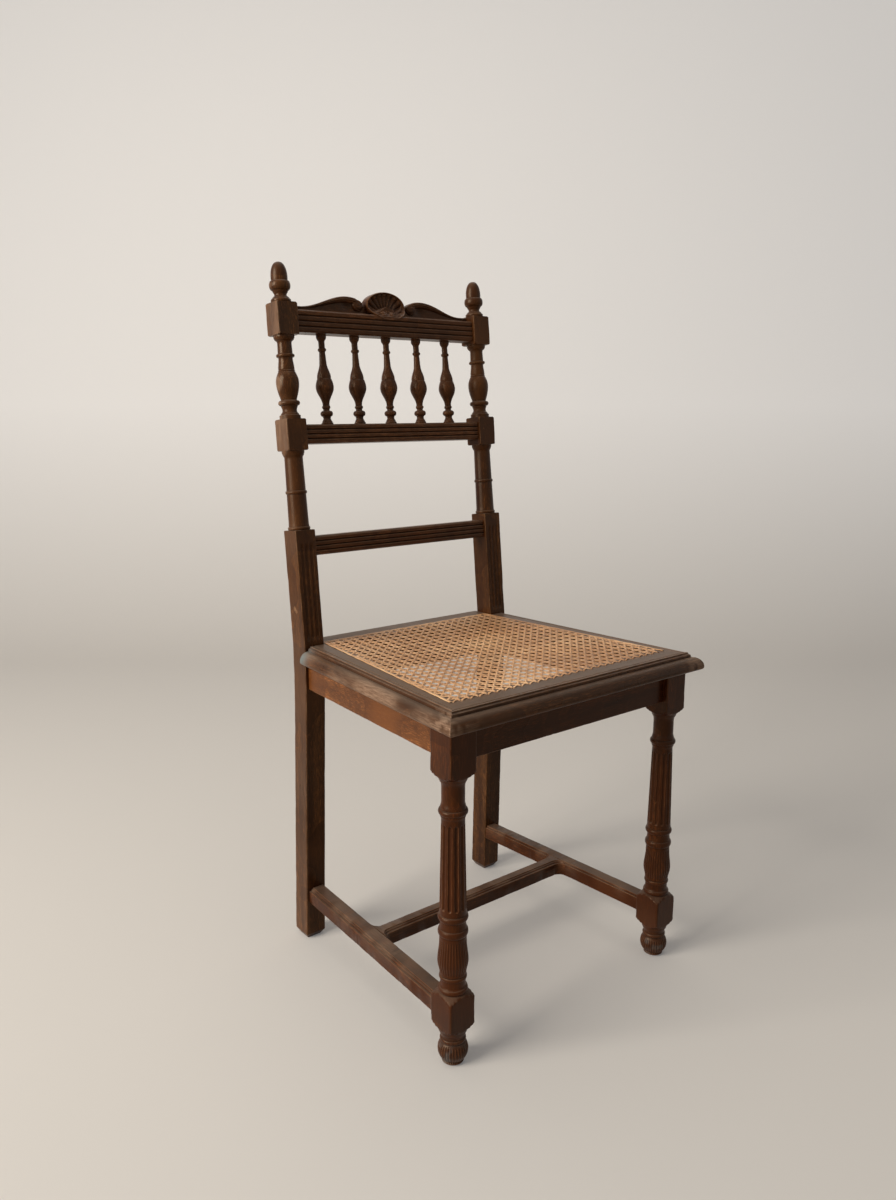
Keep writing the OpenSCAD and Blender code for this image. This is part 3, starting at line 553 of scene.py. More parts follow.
def crest_board():
    """Board behind the band, its front carved with a leaf scroll on each side of the shell."""
    half = np.concatenate([stations(0, 36, 1.2), stations(36.4, 44, 0.35), stations(44.8, POST_IN, 0.9)])
    xs = np.concatenate([-half[:0:-1], half])
    top = crest_top(xs)
    edge = np.stack([xs, top], -1)
    rows = np.concatenate([np.linspace(0, 0.8, 34), np.linspace(0.82, 1, 14)])
    base, edge_r = -12.0, 1.6
    x, t = np.meshgrid(xs, rows, indexing="ij")
    h = base + (top[:, None] - base) * t
    flat = np.stack([x.ravel(), h.ravel()], -1)
    inset = np.full(len(flat), 99.0)
    for p, q in zip(edge[:-1], edge[1:]):
        d = q - p
        s = np.clip(((flat - p) @ d) / (d @ d), 0, 1)
        inset = np.minimum(inset, np.linalg.norm(flat - p - s[:, None] * d, axis=1))
    inset = inset.reshape(x.shape)
    relief = scroll_relief(np.abs(x), h, inset)
    round_off = edge_r - np.sqrt(np.maximum(edge_r ** 2 - np.maximum(edge_r - inset, 0) ** 2, 0))
    front = BOARD_FRONT - relief + round_off
    back = BOARD_FRONT + BOARD_T - round_off
    rings = []
    for i in range(len(xs)):
        ring_d = np.concatenate([front[i], back[i][::-1][::4]])
        ring_h = np.concatenate([h[i], h[i][::-1][::4]])
        rings.append(leaning(xs[i], ring_d, EDGE_W + ring_h))
    return loft(rings)


HOOK = (48.0, 6.5)      # middle of the curled end of a leaf
HOOK_R = 8.8
LEAF_FAR = 140.0


def scroll_relief(x, h, inset):
    """How far the carving stands out of the board: a gouged leaf whose end curls over beside the shell."""
    width = 8.6 - 5.6 * smooth(64, LEAF_FAR, x)
    across = inset / width
    veins = 0.55 * ridge(across, 0.34, 0.07) + 0.7 * ridge(across, 0.68, 0.08)
    fullness = np.sin(np.clip(across * 0.8 + 0.2, 0, 1) * math.pi) ** 0.5
    leaf = (4.4 * fullness - veins) * (1 - smooth(0.93, 1.1, across))
    leaf = leaf * smooth(HOOK[0] - 4, HOOK[0] + 4, x) * (1 - 0.65 * smooth(90, LEAF_FAR, x))
    r = np.hypot(x - HOOK[0], (h - HOOK[1]) * 1.05) / HOOK_R
    turn = np.arctan2(h - HOOK[1], x - HOOK[0])
    coil = 0.7 * np.exp(-((r - 0.62 + 0.09 * turn) / 0.09) ** 2)
    hook = (4.9 * dome(0.86 * r) - coil) * (1 - smooth(0.9, 1.06, r))
    hollow = 2.4 * np.exp(-((x - 66) / 9) ** 2 - ((h - 3.5) / 5.5) ** 2)
    return np.maximum(leaf, hook) - hollow * (1 - smooth(-0.2, 1.2, np.maximum(leaf, hook)))


SHELL_H, SHELL_A, SHELL_B = 7.0, 34.5, 21.0  # middle height and half sizes of the shell's outline
PETALS = 11


def shell_front(x, h):
    """Depth of the shell's carved face."""
    lean = BOARD_FRONT - 4.2 - 9.8 * (1 - smooth(-10, 7, h))
    foot = (0.0, -8.0)
    rho = np.hypot(x - foot[0], h - foot[1])
    phi = np.arctan2(h - foot[1], x - foot[0])
    edge = 1 - np.hypot(x / SHELL_A, (h - SHELL_H) / SHELL_B)
    ribs = np.abs(np.sin(PETALS * phi))
    petals = 2.6 * (1 - ribs ** 0.8) * smooth(7, 13, rho) * smooth(0.08, 0.2, edge)
    tips = 1.2 * ribs * ridge(edge, 0.2, 0.07) * smooth(9, 14, rho)
    rim = 2.0 * ridge(edge, 0.05, 0.05)
    dish = 2.4 * np.sin(np.clip(edge / 0.6, 0, 1) * math.pi / 2)
    lobes = 0
    for cx, ch, size in ((-7.5, -2.0, 6.0), (7.5, -2.5, 5.6), (0.0, 2.5, 4.6)):
        r = np.hypot(x - cx, (h - ch) * 0.9) / size
        lobes = lobes + 3.4 * dome(r) - 0.7 * ridge(r, 0.5, 0.12)
    return lean + petals + dish - tips - rim - lobes


def shell_oval(a, rho):
    """(x, h) at the angles a, at a share of the way from the shell's middle to its outline."""
    return SHELL_A * rho * np.cos(a), SHELL_H + SHELL_B * rho * np.sin(a)


def shell():
    """The carved shell: rings from the middle of its face out, round its edge and in again behind."""
    a = np.linspace(0, 2 * math.pi, 193)[:-1]
    rings = []
    for rho in np.concatenate([np.linspace(0.02, 0.93, 40), [0.95, 0.97, 0.985]]):
        x, h = shell_oval(a, rho)
        rings.append(leaning(x, shell_front(x, h), EDGE_W + h))
    x, h = shell_oval(a, 1)
    rim = shell_front(x, h)
    deep = np.where(h > -3, BOARD_FRONT + BOARD_T - 0.4, np.minimum(rim + 6, BOARD_FRONT + 6))
    for t in (0.06, 0.3, 0.6, 0.9, 1.0):
        rings.append(leaning(x, rim + 1.2 + (deep - rim - 1.2) * t, EDGE_W + h))
    for rho in (0.97, 0.6, 0.05):
        x, h = shell_oval(a, rho)
        rings.append(leaning(x, deep + 0.3, EDGE_W + h))
    return loft(rings)


def crest_rail():
    band = reeded_section(BAND_D, BAND_H, 3)
    xs = stations(-POST_IN - LAP, POST_IN + LAP, 3)
    rings = [leaning(x, RAIL_FRONT + band[:, 0], BAND_W + band[:, 1]) for x in xs]
    return join(loft(rings), crest_board(), shell())


# ---- seat rails and stretchers ----

RAIL_T = 22.0
APRON_Y = 8        # how far the front rail stands behind the front faces of the legs
REAR_IN = 5        # how far the rear rail stands in from the back faces of the posts


def side_x(y):
    """Outer face of a side seat rail."""
    return LEG_X + BLOCK / 2 - 5 + (REAR_W / 2 - LEG_X - BLOCK / 2) * (y - BLOCK) / (SEAT_D - BLOCK)


def along_y(section, x_of, y0, y1, step=4):
    """A section of (x, z) points swept back from y0 to y1, with its zero on the line x_of(y)."""
    s = np.asarray(section)
    return loft([points_at(x_of(y) + s[:, 0], y, s[:, 1]) for y in stations(y0, y1, step)])


def along_x(section, x0, x1, step=4):
    s = np.asarray(section)
    return loft([points_at(x, s[:, 0], s[:, 1]) for x in stations(x0, x1, step)])


def board(a, b, z0, z1, radius=1.0):
    return soften(dense([(a, z0), (b, z0), (b, z1), (a, z1), (a, z0)], 11)[:-1], radius)


def side_rail():
    return along_y(board(-RAIL_T, 0, RAIL_Z, DECK), side_x, BLOCK - LAP, SEAT_D + LAP)


STRETCH_Z, STRETCH_H, STRETCH_W = 61.5, 22.0, 26.0
STRETCH_IN = 4.6   # how far the side stretchers stand in from the faces of the legs and posts
STRETCH_FX = LEG_X + BLOCK / 2 - STRETCH_IN - STRETCH_W / 2
STRETCH_RY = SEAT_D + FOOT_KICK * (KNEE - STRETCH_Z) / KNEE
STRETCH_RX = REAR_W / 2 + FOOT_SPLAY * (KNEE - STRETCH_Z - STRETCH_H / 2) / KNEE - STRETCH_IN - STRETCH_W / 2
CROSS_Y, CROSS_W, FLARE = 207.5, 24.0, 13.0
HOLLOW = 9         # radius of the small hollow at the end of a side stretcher


def stretcher_x(y):
    return STRETCH_FX + (STRETCH_RX - STRETCH_FX) * (y - BLOCK) / (STRETCH_RY - BLOCK)


def moulded_half(w, h):
    """Half section of a stretcher, from its middle out: flat top, fillet, cove and side, as (x, z)."""
    return [(0, h), (w - 6.2, h), (w - 5.7, h - 1.3), (w - 4.6, h - 1.6), (w - 3.6, h - 2.2),
            (w - 2.9, h - 3.5), (w, h - 3.7), (w, 0), (0, 0)]


def stretcher_section():
    w, h = STRETCH_W / 2, STRETCH_H
    outer = moulded_half(w, h)[1:-1]
    inner = [(-w, 0), (-w, h - 3.2), (-w + 1.8, h - 3), (-w + 2.4, h)]
    return np.array(soften(outer + inner, 0.55)) + [0, STRETCH_Z]


def side_stretcher():
    """The stretcher, widened by a small hollow where it meets the front leg's block."""
    s = stretcher_section()
    rings = []
    ys = np.concatenate([np.linspace(BLOCK - LAP, BLOCK + HOLLOW, 12),
                         stations(BLOCK + 12, STRETCH_RY + 1, 4)])
    for y in ys:
        e = np.clip(y - BLOCK, 0, HOLLOW)
        grow = HOLLOW - math.sqrt(max(HOLLOW ** 2 - (HOLLOW - e) ** 2, 0))
        wider = np.where(s[:, 0] > 0, 4.2 * grow / HOLLOW, -7.2 * grow / HOLLOW)
        x = s[:, 0] + wider * np.minimum(np.abs(s[:, 0]) / 8, 1)
        rings.append(points_at(stretcher_x(y) + x, y, s[:, 1]))
    return loft(rings)


def cross_stretcher():
    end = stretcher_x(CROSS_Y) - STRETCH_W / 2 + 1.6
    half = moulded_half(CROSS_W / 2, STRETCH_H)[1:-1]
    s = soften(half + [(-u, z) for u, z in half[::-1]], 0.55)
    rings = []
    flare = np.linspace(0, FLARE, 16)
    straight = stations(-end + FLARE + 3, end - FLARE - 3, 5)
    for x in np.concatenate([-end + flare, straight, end - FLARE + flare]):
        e = np.clip(end - abs(x), 0, FLARE)
        grow = FLARE - math.sqrt(max(FLARE ** 2 - (FLARE - e) ** 2, 0))
        v = s[:, 0] + np.sign(s[:, 0]) * grow * np.minimum(np.abs(s[:, 0]) / 5, 1)
        rings.append(points_at(x, CROSS_Y + v, STRETCH_Z + s[:, 1]))
    return loft(rings)


# ---- seat frame ----

EDGE, QUIRK, THUMB = 17.0, 6.5, 19.7
CANE_FRONT, CANE_SIDE, CANE_REAR, CANE_GAP, LAND = 23.0, 20.5, 8.5, 5.0, 11.0
PITCH, HOLE_R = 13.57, 2.0
NOSE_REAR = REAR_W / 2 + 8.5
CANE_FX = LEG_X + BLOCK / 2 - CANE_SIDE
CANE_RX = POST_IN - CANE_GAP
CANE_RY = SEAT_D + CANE_REAR
OPEN_FY, OPEN_RY = CANE_FRONT + LAND, CANE_RY - LAND
FRAME_BACK = SEAT_D + POST_D + 5


def cane_x(y):
    return CANE_FX + (CANE_RX - CANE_FX) * (y - CANE_FRONT) / (CANE_RY - CANE_FRONT)


def moulding():
    """Moulded edge from the top face to the underside, as (distance in from the nose, depth)."""
    thumb_in, lip = EDGE - 4.6, 4
    scribe = EDGE + 4
    upper, lower = np.radians(range(80, -1, -8)), np.radians(range(15, 91, 15))
    return ([(scribe + 0.8, 0), (scribe, -0.8), (scribe - 0.8, 0), (EDGE, 0), (EDGE - 0.3, -1.9),
             (EDGE - 1.4, -2.6), (EDGE - 2.5, -3.0), (EDGE - 3.0, -4.4), (EDGE - 3.2, -QUIRK),
             (thumb_in, -QUIRK - 0.1)]
            + [(thumb_in * (1 - math.cos(a)), -THUMB + (THUMB - QUIRK) * math.sin(a)) for a in upper]
            + [(lip * (1 - math.cos(a)), -THUMB - (FRAME_T - THUMB) * math.sin(a)) for a in lower])


def frame_section(width):
    """Closed section of a moulded member: (distance in from the nose, height from the seat's top)."""
    s = soften([(width, -FRAME_T), (width, 0)] + moulding(), 0.45, 2)
    return dense([tuple(p) for p in s] + [tuple(s[0])], 4)[:-1]


def member(nose_a, nose_b, inner_a, inner_b, step=4):
    """Moulded member between two mitres; each is the line from a nose corner to an inner corner."""
    nose_a, nose_b, inner_a, inner_b = (np.array(p, float) for p in (nose_a, nose_b, inner_a, inner_b))
    way = (nose_b - nose_a) / np.linalg.norm(nose_b - nose_a)
    normal = np.array([-way[1], way[0]])
    if normal @ (inner_a - nose_a) < 0:
        normal = -normal
    deep_a, deep_b = normal @ (inner_a - nose_a), normal @ (inner_b - nose_b)
    s = frame_section(deep_a)
    rings = []
    for t in stations(0, 1, step / np.linalg.norm(nose_b - nose_a)):
        u = s[:, 0]
        share_a = u / deep_a
        stretch = np.where(u > EDGE, (u - EDGE) / (deep_a - EDGE), 0) * (deep_b - deep_a)
        share_b = (u + stretch) / deep_b
        a = nose_a + share_a[:, None] * (inner_a - nose_a)
        b = nose_b + share_b[:, None] * (inner_b - nose_b)
        flat = a + (b - a) * t
        rings.append(points_at(flat[:, 0], flat[:, 1], SEAT + s[:, 1]))
    return loft(rings)


def front_member():
    x = cane_x(OPEN_FY) - LAND
    return member((-NOSE_FRONT, -FRONT_OVER), (NOSE_FRONT, -FRONT_OVER), (-x, OPEN_FY), (x, OPEN_FY))


def side_member():
    return member((NOSE_FRONT, -FRONT_OVER), (NOSE_REAR, SEAT_D), (cane_x(OPEN_FY) - LAND, OPEN_FY),
                  (cane_x(OPEN_RY) - LAND, OPEN_RY))


def rear_member():
    s = board(OPEN_RY, FRAME_BACK, DECK, SEAT, 1.2)
    return along_x(s, -POST_IN + 0.1, POST_IN - 0.1)


FRONT_HOLES = round(2 * CANE_FX / PITCH)
REAR_HOLES = math.floor(2 * CANE_RX / PITCH)
SIDE_HOLES = round((CANE_RY - CANE_FRONT) / PITCH)


def hole_rows():
    front = [((i - FRONT_HOLES / 2) * PITCH, CANE_FRONT) for i in range(FRONT_HOLES + 1)]
    rear = [((i - REAR_HOLES / 2) * PITCH, CANE_RY) for i in range(REAR_HOLES + 1)]
    side = [(cane_x(CANE_FRONT + i * PITCH), CANE_FRONT + i * PITCH) for i in range(1, SIDE_HOLES - 1)]
    return front, rear, side


# ---- cane ----

STRAND_W, STRAND_T = 2.5, 0.42
PAIR = 1.75        # distance of a strand from its pair's line
LIFT = 0.46        # rise of a strand where it passes over another
CANE_Z = SEAT + 0.62


def strand(points, width=STRAND_W, thick=STRAND_T):
    """A flat split strand with a domed top along the points."""
    p = np.asarray(points, float)
    way = np.gradient(p[:, :2], axis=0)
    way /= np.maximum(np.linalg.norm(way, axis=1), 1e-9)[:, None]
    side = np.stack([-way[:, 1], way[:, 0]], -1)
    shape = [(-0.5, -0.5), (0.5, -0.5), (0.42, 0.25), (0, 0.5), (-0.42, 0.25)]
    rings = [[(q[0] + n[0] * a * width, q[1] + n[1] * a * width, q[2] + b * thick) for a, b in shape]
             for q, n in zip(p, side)]
    return loft(rings)


def sag(x, y):
    """The worn panel hangs a little towards its middle."""
    u = np.clip(1 - (x / cane_x(y)) ** 2, 0, 1)
    v = np.clip(4 * (y - CANE_FRONT) * (CANE_RY - y) / (CANE_RY - CANE_FRONT) ** 2, 0, 1)
    return -5.0 * u * v


def end_dip(distance):
    """Drop of a strand's end into its hole."""
    return -2.6 * (1 - smooth(0.2, 2.8, distance))


def weave_z(x, y, lift, start, end):
    d = np.minimum(np.hypot(x - start[0], y - start[1]), np.hypot(x - end[0], y - end[1]))
    return CANE_Z + lift * smooth(1, 7, d) + sag(x, y) + end_dip(d)


def pulse(t, centre):
    """1 where t is within a strand's width of the centre, falling to 0 between pairs."""
    return np.exp(-((t - centre) * PITCH / 1.6) ** 2)


def over_under(t):
    """1 at one strand of each crossed pair and -1 at the other; t counts pairs."""
    off = t - np.round(t)
    return pulse(off, PAIR / PITCH) - pulse(off, -PAIR / PITCH)


def lengthwise(i, side):
    """Strand that runs back, at one side of the pair over front hole i."""
    x0 = i * PITCH + side * PAIR
    if abs(i * PITCH) <= CANE_RX:
        y1 = CANE_RY
    else:
        y1 = CANE_FRONT + (CANE_FX - abs(i * PITCH)) / (CANE_FX - CANE_RX) * (CANE_RY - CANE_FRONT)
    if y1 - CANE_FRONT < 12:
        return None
    y = np.linspace(CANE_FRONT, y1, max(4, round((y1 - CANE_FRONT) / PITCH * 6)))
    near = np.minimum(y - CANE_FRONT, y1 - y)
    wander = noise(points_at(x0, y, 0), 40, i)
    x = i * PITCH + side * PAIR * smooth(0, 8, near) + 0.25 * wander
    lift = LIFT * side * over_under((y - CANE_FRONT) / PITCH)
    return points_at(x, y, weave_z(x, y, lift, (i * PITCH, CANE_FRONT), (i * PITCH, y1)))


def crosswise(j, side):
    """Strand that runs across, at one side of the pair at row j."""
    yc = CANE_FRONT + j * PITCH
    xe = cane_x(yc)
    x = np.linspace(-xe, xe, round(2 * xe / PITCH * 6))
    near = xe - np.abs(x)
    wander = noise(points_at(x, yc + 9 * side, 0), 40, j + 50)
    y = yc + side * PAIR * smooth(0, 8, near) + 0.25 * wander
    lift = -LIFT * side * over_under(x / PITCH)
    return points_at(x, y, weave_z(x, y, lift, (-xe, yc), (xe, yc)))


def diagonal(k, way):
    """Strand at 45 degrees that cuts the corners of the squares, over one set of pairs, under the other."""
    t = np.linspace(0, 1, 1200)
    y = CANE_FRONT + t * (CANE_RY - CANE_FRONT)
    x = way * (y - CANE_FRONT) + (k + 0.5) * PITCH
    inside = np.abs(x) <= cane_x(y)
    if inside.sum() < 60:
        return None
    x, y = x[inside], y[inside]
    n = max(4, round((y[-1] - y[0]) / PITCH * 8))
    y = np.linspace(y[0], y[-1], n)
    x = way * (y - CANE_FRONT) + (k + 0.5) * PITCH
    ends = []
    for e in (0, -1):
        hx, hy = x[e], y[e]
        if abs(hy - CANE_FRONT) < 1 or abs(hy - CANE_RY) < 1:
            hx = np.clip(round(hx / PITCH - 0.01) * PITCH, -cane_x(hy), cane_x(hy))
        else:
            hy = CANE_FRONT + round((hy - CANE_FRONT) / PITCH) * PITCH
            hx = math.copysign(cane_x(hy), hx)
        pull = 1 - smooth(0, 9, np.hypot(x - x[e], y - y[e]))
        ends.append((hx, hy))
        x, y = x + pull * (hx - x[e]), y + pull * (hy - y[e])
    lift = way * -LIFT * 1.05 * np.cos(2 * math.pi * (x / PITCH))
    crossing = 0.05 * (k % 3)   # strands that share a hole lie on each other there
    return points_at(x, y, weave_z(x, y, lift, ends[0], ends[1]) + crossing)


BINDER_W = 4.4


def binder(points):
    """Strand that covers a row of holes, with a stitch over it at every other hole."""
    p = np.array(points, float)
    line = dense([tuple(q) for q in p], 3.4)
    wave = 0.16 * np.cos(np.arange(len(line)) * 2 * math.pi / 8)
    run = np.column_stack([line, SEAT + 0.66 + wave])
    return strand(run, BINDER_W, 0.55)


def binders():
    sides = [[(s * cane_x(CANE_FRONT + 2), CANE_FRONT + 2), (s * CANE_RX, CANE_RY)] for s in (-1, 1)]
    rear = [(-CANE_RX, CANE_RY), (CANE_RX, CANE_RY)]
    return join(*[binder(line) for line in sides + [rear]])


def cane_sets():
    columns = range(-FRONT_HOLES // 2, FRONT_HOLES // 2 + 1)
    long_lines = [lengthwise(i, s) for i in columns for s in (-1, 1)]
    cross_lines = [crosswise(j, s) for j in range(1, SIDE_HOLES) for s in (-1, 1)]
    span = FRONT_HOLES // 2 + SIDE_HOLES + 2
    return {
        "cane_lengthwise": long_lines,
        "cane_crosswise": cross_lines,
        "cane_diagonal_a": [diagonal(k, 1) for k in range(-span, span)],
        "cane_diagonal_b": [diagonal(k, -1) for k in range(-span, span)],
    }


# ---- finishes ----


def nodes_of(name):
    mat = bpy.data.materials.new(name)
    mat.use_nodes = True
    tree = mat.node_tree
    tree.nodes.clear()
    out = tree.nodes.new("ShaderNodeOutputMaterial")
    shader = tree.nodes.new("ShaderNodeBsdfPrincipled")
    tree.links.new(shader.outputs[0], out.inputs[0])
    return mat, tree, shader


def add(tree, kind, **settings):
    node = tree.nodes.new(kind)
    for key, value in settings.items():
        setattr(node, key, value)
    return node


def link(tree, a, b):
    tree.links.new(a, b)


def texture(tree, vector, scale, detail, rough):
    n = add(tree, "ShaderNodeTexNoise")
    n.inputs["Scale"].default_value = scale
    n.inputs["Detail"].default_value = detail
    n.inputs["Roughness"].default_value = rough
    link(tree, vector, n.inputs["Vector"])
    return n.outputs[0]


def streaked(tree, coords, grain, share):
    """Coordinates that draw a texture out along the axes named in grain."""
    n = add(tree, "ShaderNodeMapping")
    n.inputs["Scale"].default_value = [share if axis in grain else 1.0 for axis in "xyz"]
    link(tree, coords, n.inputs["Vector"])
    return n.outputs[0]


def bump(tree, shader, height, strength, distance):
    n = add(tree, "ShaderNodeBump")
    n.inputs["Strength"].default_value = strength
    n.inputs["Distance"].default_value = distance
    link(tree, height, n.inputs["Height"])
    link(tree, n.outputs[0], shader.inputs["Normal"])


def ramp(tree, source, stops):
    n = add(tree, "ShaderNodeValToRGB")
    e = n.color_ramp.elements
    while len(e) < len(stops):
        e.new(0.5)
    for element, (at, colour) in zip(e, stops):
        element.position = at
        element.color = (*colour, 1)
    link(tree, source, n.inputs[0])
    return n.outputs[0]


def grey(v):
    return (v, v, v)


def mix(tree, factor, a, b, blend="MIX"):
    n = add(tree, "ShaderNodeMix", data_type="RGBA", blend_type=blend)
    for socket, value in ((n.inputs[0], factor), (n.inputs[6], a), (n.inputs[7], b)):
        if isinstance(value, (int, float)):
            socket.default_value = value
        elif isinstance(value, tuple):
            socket.default_value = (*value, 1)
        else:
            link(tree, value, socket)
    return n.outputs[2]


def sums(tree, operation, a, b):
    n = add(tree, "ShaderNodeMath", operation=operation)
    for socket, value in zip(n.inputs, (a, b)):
        if isinstance(value, (int, float)):
            socket.default_value = value
        else:
            link(tree, value, socket)
    n.use_clamp = True
    return n.outputs[0]


def faded(colour, share):
    return tuple(c * share for c in colour)


def mask(tree, source, low, high, weakest=0.0, strongest=1.0):
    """A factor that goes from one strength to another as the source passes from low to high."""
    return ramp(tree, source, [(low, grey(weakest)), (high, grey(strongest))])


def attribute(tree, name):
    return add(tree, "ShaderNodeAttribute", attribute_name=name).outputs["Fac"]


RUBBED, GREYED, DUST = (0.33, 0.205, 0.130), (0.145, 0.160, 0.150), (0.22, 0.165, 0.115)


def stain(tree, coords, along, light, dark, streaky):
    """Colour of the stained wood before wear, with its streaks, pores and clouds."""
    bands = texture(tree, along, 42, 4, 0.55)
    streaks = texture(tree, along, 210, 5, 0.6)
    pores = texture(tree, along, 1100, 2, 0.5)
    clouds = texture(tree, coords, 8, 3, 0.5)
    middle = tuple((a + b) * 0.45 for a, b in zip(light, dark))
    body = ramp(tree, bands, [(0.32, dark), (0.50, middle), (0.70, light)])
    for source, low, high, most, colour in ((streaks, 0.60, 0.40, 0.75 * streaky, faded(dark, 0.4)),
                                            (streaks, 0.56, 0.72, 0.5 * streaky, faded(light, 1.5)),
                                            (pores, 0.42, 0.30, 0.6, faded(dark, 0.3)),
                                            (clouds, 0.46, 0.72, 0.4, faded(light, 1.45)),
                                            (clouds, 0.50, 0.30, 0.55, faded(dark, 0.6))):
        body = mix(tree, mask(tree, source, low, high, 0, most), body, colour)
    return body, streaks, pores, clouds


def walnut(name, grain, light, dark, pale, rough=0.31, streaky=1.0):
    """Old stained walnut: streaked along its grain, grimy and painted with shade in its hollows, rubbed pale
    on its arrises, where the pale also paints their highlights.
    """
    mat, tree, shader = nodes_of(name)
    coords = add(tree, "ShaderNodeTexCoord").outputs["Object"]
    along = streaked(tree, coords, grain, 0.07)
    body, streaks, pores, clouds = stain(tree, coords, along, light, dark, streaky)
    speckle = texture(tree, coords, 60, 6, 0.7)
    hollow = attribute(tree, "hollow")
    # Painted shade, with some grime: hollow places darken towards a much darker brown.
    body = mix(tree, sums(tree, "MULTIPLY", hollow, 0.93), body, faded(dark, 0.2))
    # Wear and painted highlight: arrises turn pale, as rubbed wood and as light catching the edge.
    worn_and_highlit = sums(tree, "MULTIPLY", attribute(tree, "arris"), mask(tree, speckle, 0.40, 0.62, 0.1, 0.85))
    body = mix(tree, worn_and_highlit, body, pale)
    nicks = mask(tree, texture(tree, coords, 34, 8, 0.78), 0.672, 0.69, 0, 0.6)
    body = mix(tree, nicks, body, pale)
    scratches = mask(tree, texture(tree, along, 620, 6, 0.7), 0.38, 0.62, 0.3, 1)
    rubs = sums(tree, "MULTIPLY", attribute(tree, "rubbed"), scratches)
    body = mix(tree, rubs, body, RUBBED)
    grime = sums(tree, "MULTIPLY", attribute(tree, "greyed_and_shaded"), mask(tree, speckle, 0.3, 0.6, 0.5, 1))
    body = mix(tree, grime, body, GREYED)
    up = add(tree, "ShaderNodeSeparateXYZ")
    link(tree, add(tree, "ShaderNodeNewGeometry").outputs["Normal"], up.inputs[0])
    level = mask(tree, up.outputs["Z"], 0.6, 0.98)
    dust = sums(tree, "MULTIPLY", level, mask(tree, clouds, 0.3, 0.7, 0.12, 0.3))
    body = mix(tree, dust, body, DUST)
    link(tree, body, shader.inputs["Base Color"])
    gloss = mask(tree, clouds, 0.3, 0.7, rough - 0.07, rough + 0.10)
    for share, value in ((worn_and_highlit, 0.55), (hollow, 0.7), (rubs, 0.6), (dust, 0.7)):
        gloss = mix(tree, share, gloss, grey(value))
    link(tree, gloss, shader.inputs["Roughness"])
    shader.inputs["Specular IOR Level"].default_value = 0.20
    shader.inputs["Specular Tint"].default_value = (1.0, 0.76, 0.52, 1)
    relief = sums(tree, "ADD", sums(tree, "MULTIPLY", streaks, 0.6), sums(tree, "MULTIPLY", pores, 0.4))
    bump(tree, shader, relief, 0.3, 0.0005)
    return mat


def cane_finish(name, grain):
    """Golden split cane: fine lines along each strand, paler and darker strands, a soft gloss."""
    mat, tree, shader = nodes_of(name)
    coords = add(tree, "ShaderNodeTexCoord").outputs["Object"]
    along = streaked(tree, coords, grain, 0.06)
    lines = texture(tree, along, 900, 3, 0.5)
    strands = texture(tree, along, 150, 1, 0.4)
    patches = texture(tree, coords, 14, 3, 0.5)
    body = ramp(tree, strands, [(0.30, (0.38, 0.172, 0.062)), (0.50, (0.57, 0.288, 0.120)),
                                (0.72, (0.76, 0.455, 0.225))])
    body = mix(tree, mask(tree, lines, 0.58, 0.35, 0, 0.5), body, (0.26, 0.125, 0.05))
    body = mix(tree, mask(tree, patches, 0.45, 0.75, 0, 0.4), body, (0.34, 0.18, 0.085))
    # Painted shade: strands darken where they pass under others and dip into their holes.
    body = mix(tree, sums(tree, "MULTIPLY", attribute(tree, "greyed_and_shaded"), 0.9), body, (0.13, 0.058, 0.022))
    link(tree, body, shader.inputs["Base Color"])
    shader.inputs["Roughness"].default_value = 0.40
    shader.inputs["Specular IOR Level"].default_value = 0.5
    bump(tree, shader, lines, 0.2, 0.0003)
    return mat


# Light streaks, dark streaks, and the pale of worn arrises, which also paints their highlights, of each kind
# of piece
WALNUTS = {
    "leg": ((0.130, 0.034, 0.0065), (0.036, 0.0065, 0.0014), (0.235, 0.098, 0.038)),
    "post": ((0.180, 0.066, 0.0175), (0.036, 0.0086, 0.0024), (0.270, 0.140, 0.066)),
    "frame": ((0.160, 0.058, 0.0180), (0.028, 0.0082, 0.0028), (0.330, 0.190, 0.108)),
    "side": ((0.310, 0.105, 0.0260), (0.090, 0.0250, 0.0062), (0.330, 0.160, 0.072)),
    "dark": ((0.185, 0.062, 0.0180), (0.040, 0.0098, 0.0030), (0.280, 0.145, 0.070)),
}


def walnut_for(kind, grain, streaky=1.0):
    light, dark, pale = WALNUTS[kind]
    return walnut(f"{kind}_walnut_{grain}", grain, light, dark, pale, streaky=streaky)


# ---- rubbed and greyed places, and painted shade ----


def leg_marks(co):
    """Ball feet scuffed grey, and lower blocks rubbed by shoes and brooms."""
    scuffs = smooth(0.0, 0.5, noise(co, 7, 11)) * (1 - smooth(24, 34, co[:, 2]))
    return 0.05 * (1 - smooth(40, 100, co[:, 2])), 0.30 * scuffs


def post_marks(co):
    """Outer faces of the back painted paler, more so towards the top."""
    outer = smooth(REAR_W / 2 - 2.5, REAR_W / 2 - 0.8, np.abs(co[:, 0]))
    paler_share = outer * (0.12 + 0.72 * smooth(620, 900, co[:, 2])) * smooth(-0.9, 0.5, noise(co, 60, 12))
    return paler_share, np.zeros(len(co))


def frame_marks(co):
    """Edges of the seat where hands, knees and other furniture have rubbed it."""
    x, y, z = co[:, 0], co[:, 1], co[:, 2]
    nose = 1 - smooth(6, 16, NOSE_FRONT - np.abs(x) - (NOSE_FRONT - NOSE_REAR) * y / SEAT_D)
    side = 0.72 * nose * smooth(-0.8, 0.4, noise(co, 42, 13))
    corner = sum(spot(co, (s * 216, -8, 446), (22, 34, 16), 0.9) for s in (-1, 1))
    corner = corner * smooth(-0.4, 0.3, noise(co, 6, 14))
    land = 0.22 * smooth(SEAT - 1.5, SEAT - 0.3, z)
    end = sum(spot(co, (s * 198, SEAT_D - 2, 447), (18, 16, 20), 1.0) for s in (-1, 1))
    return np.clip(side * (x < 0) + corner + land, 0, 1), np.clip(end, 0, 0.9)


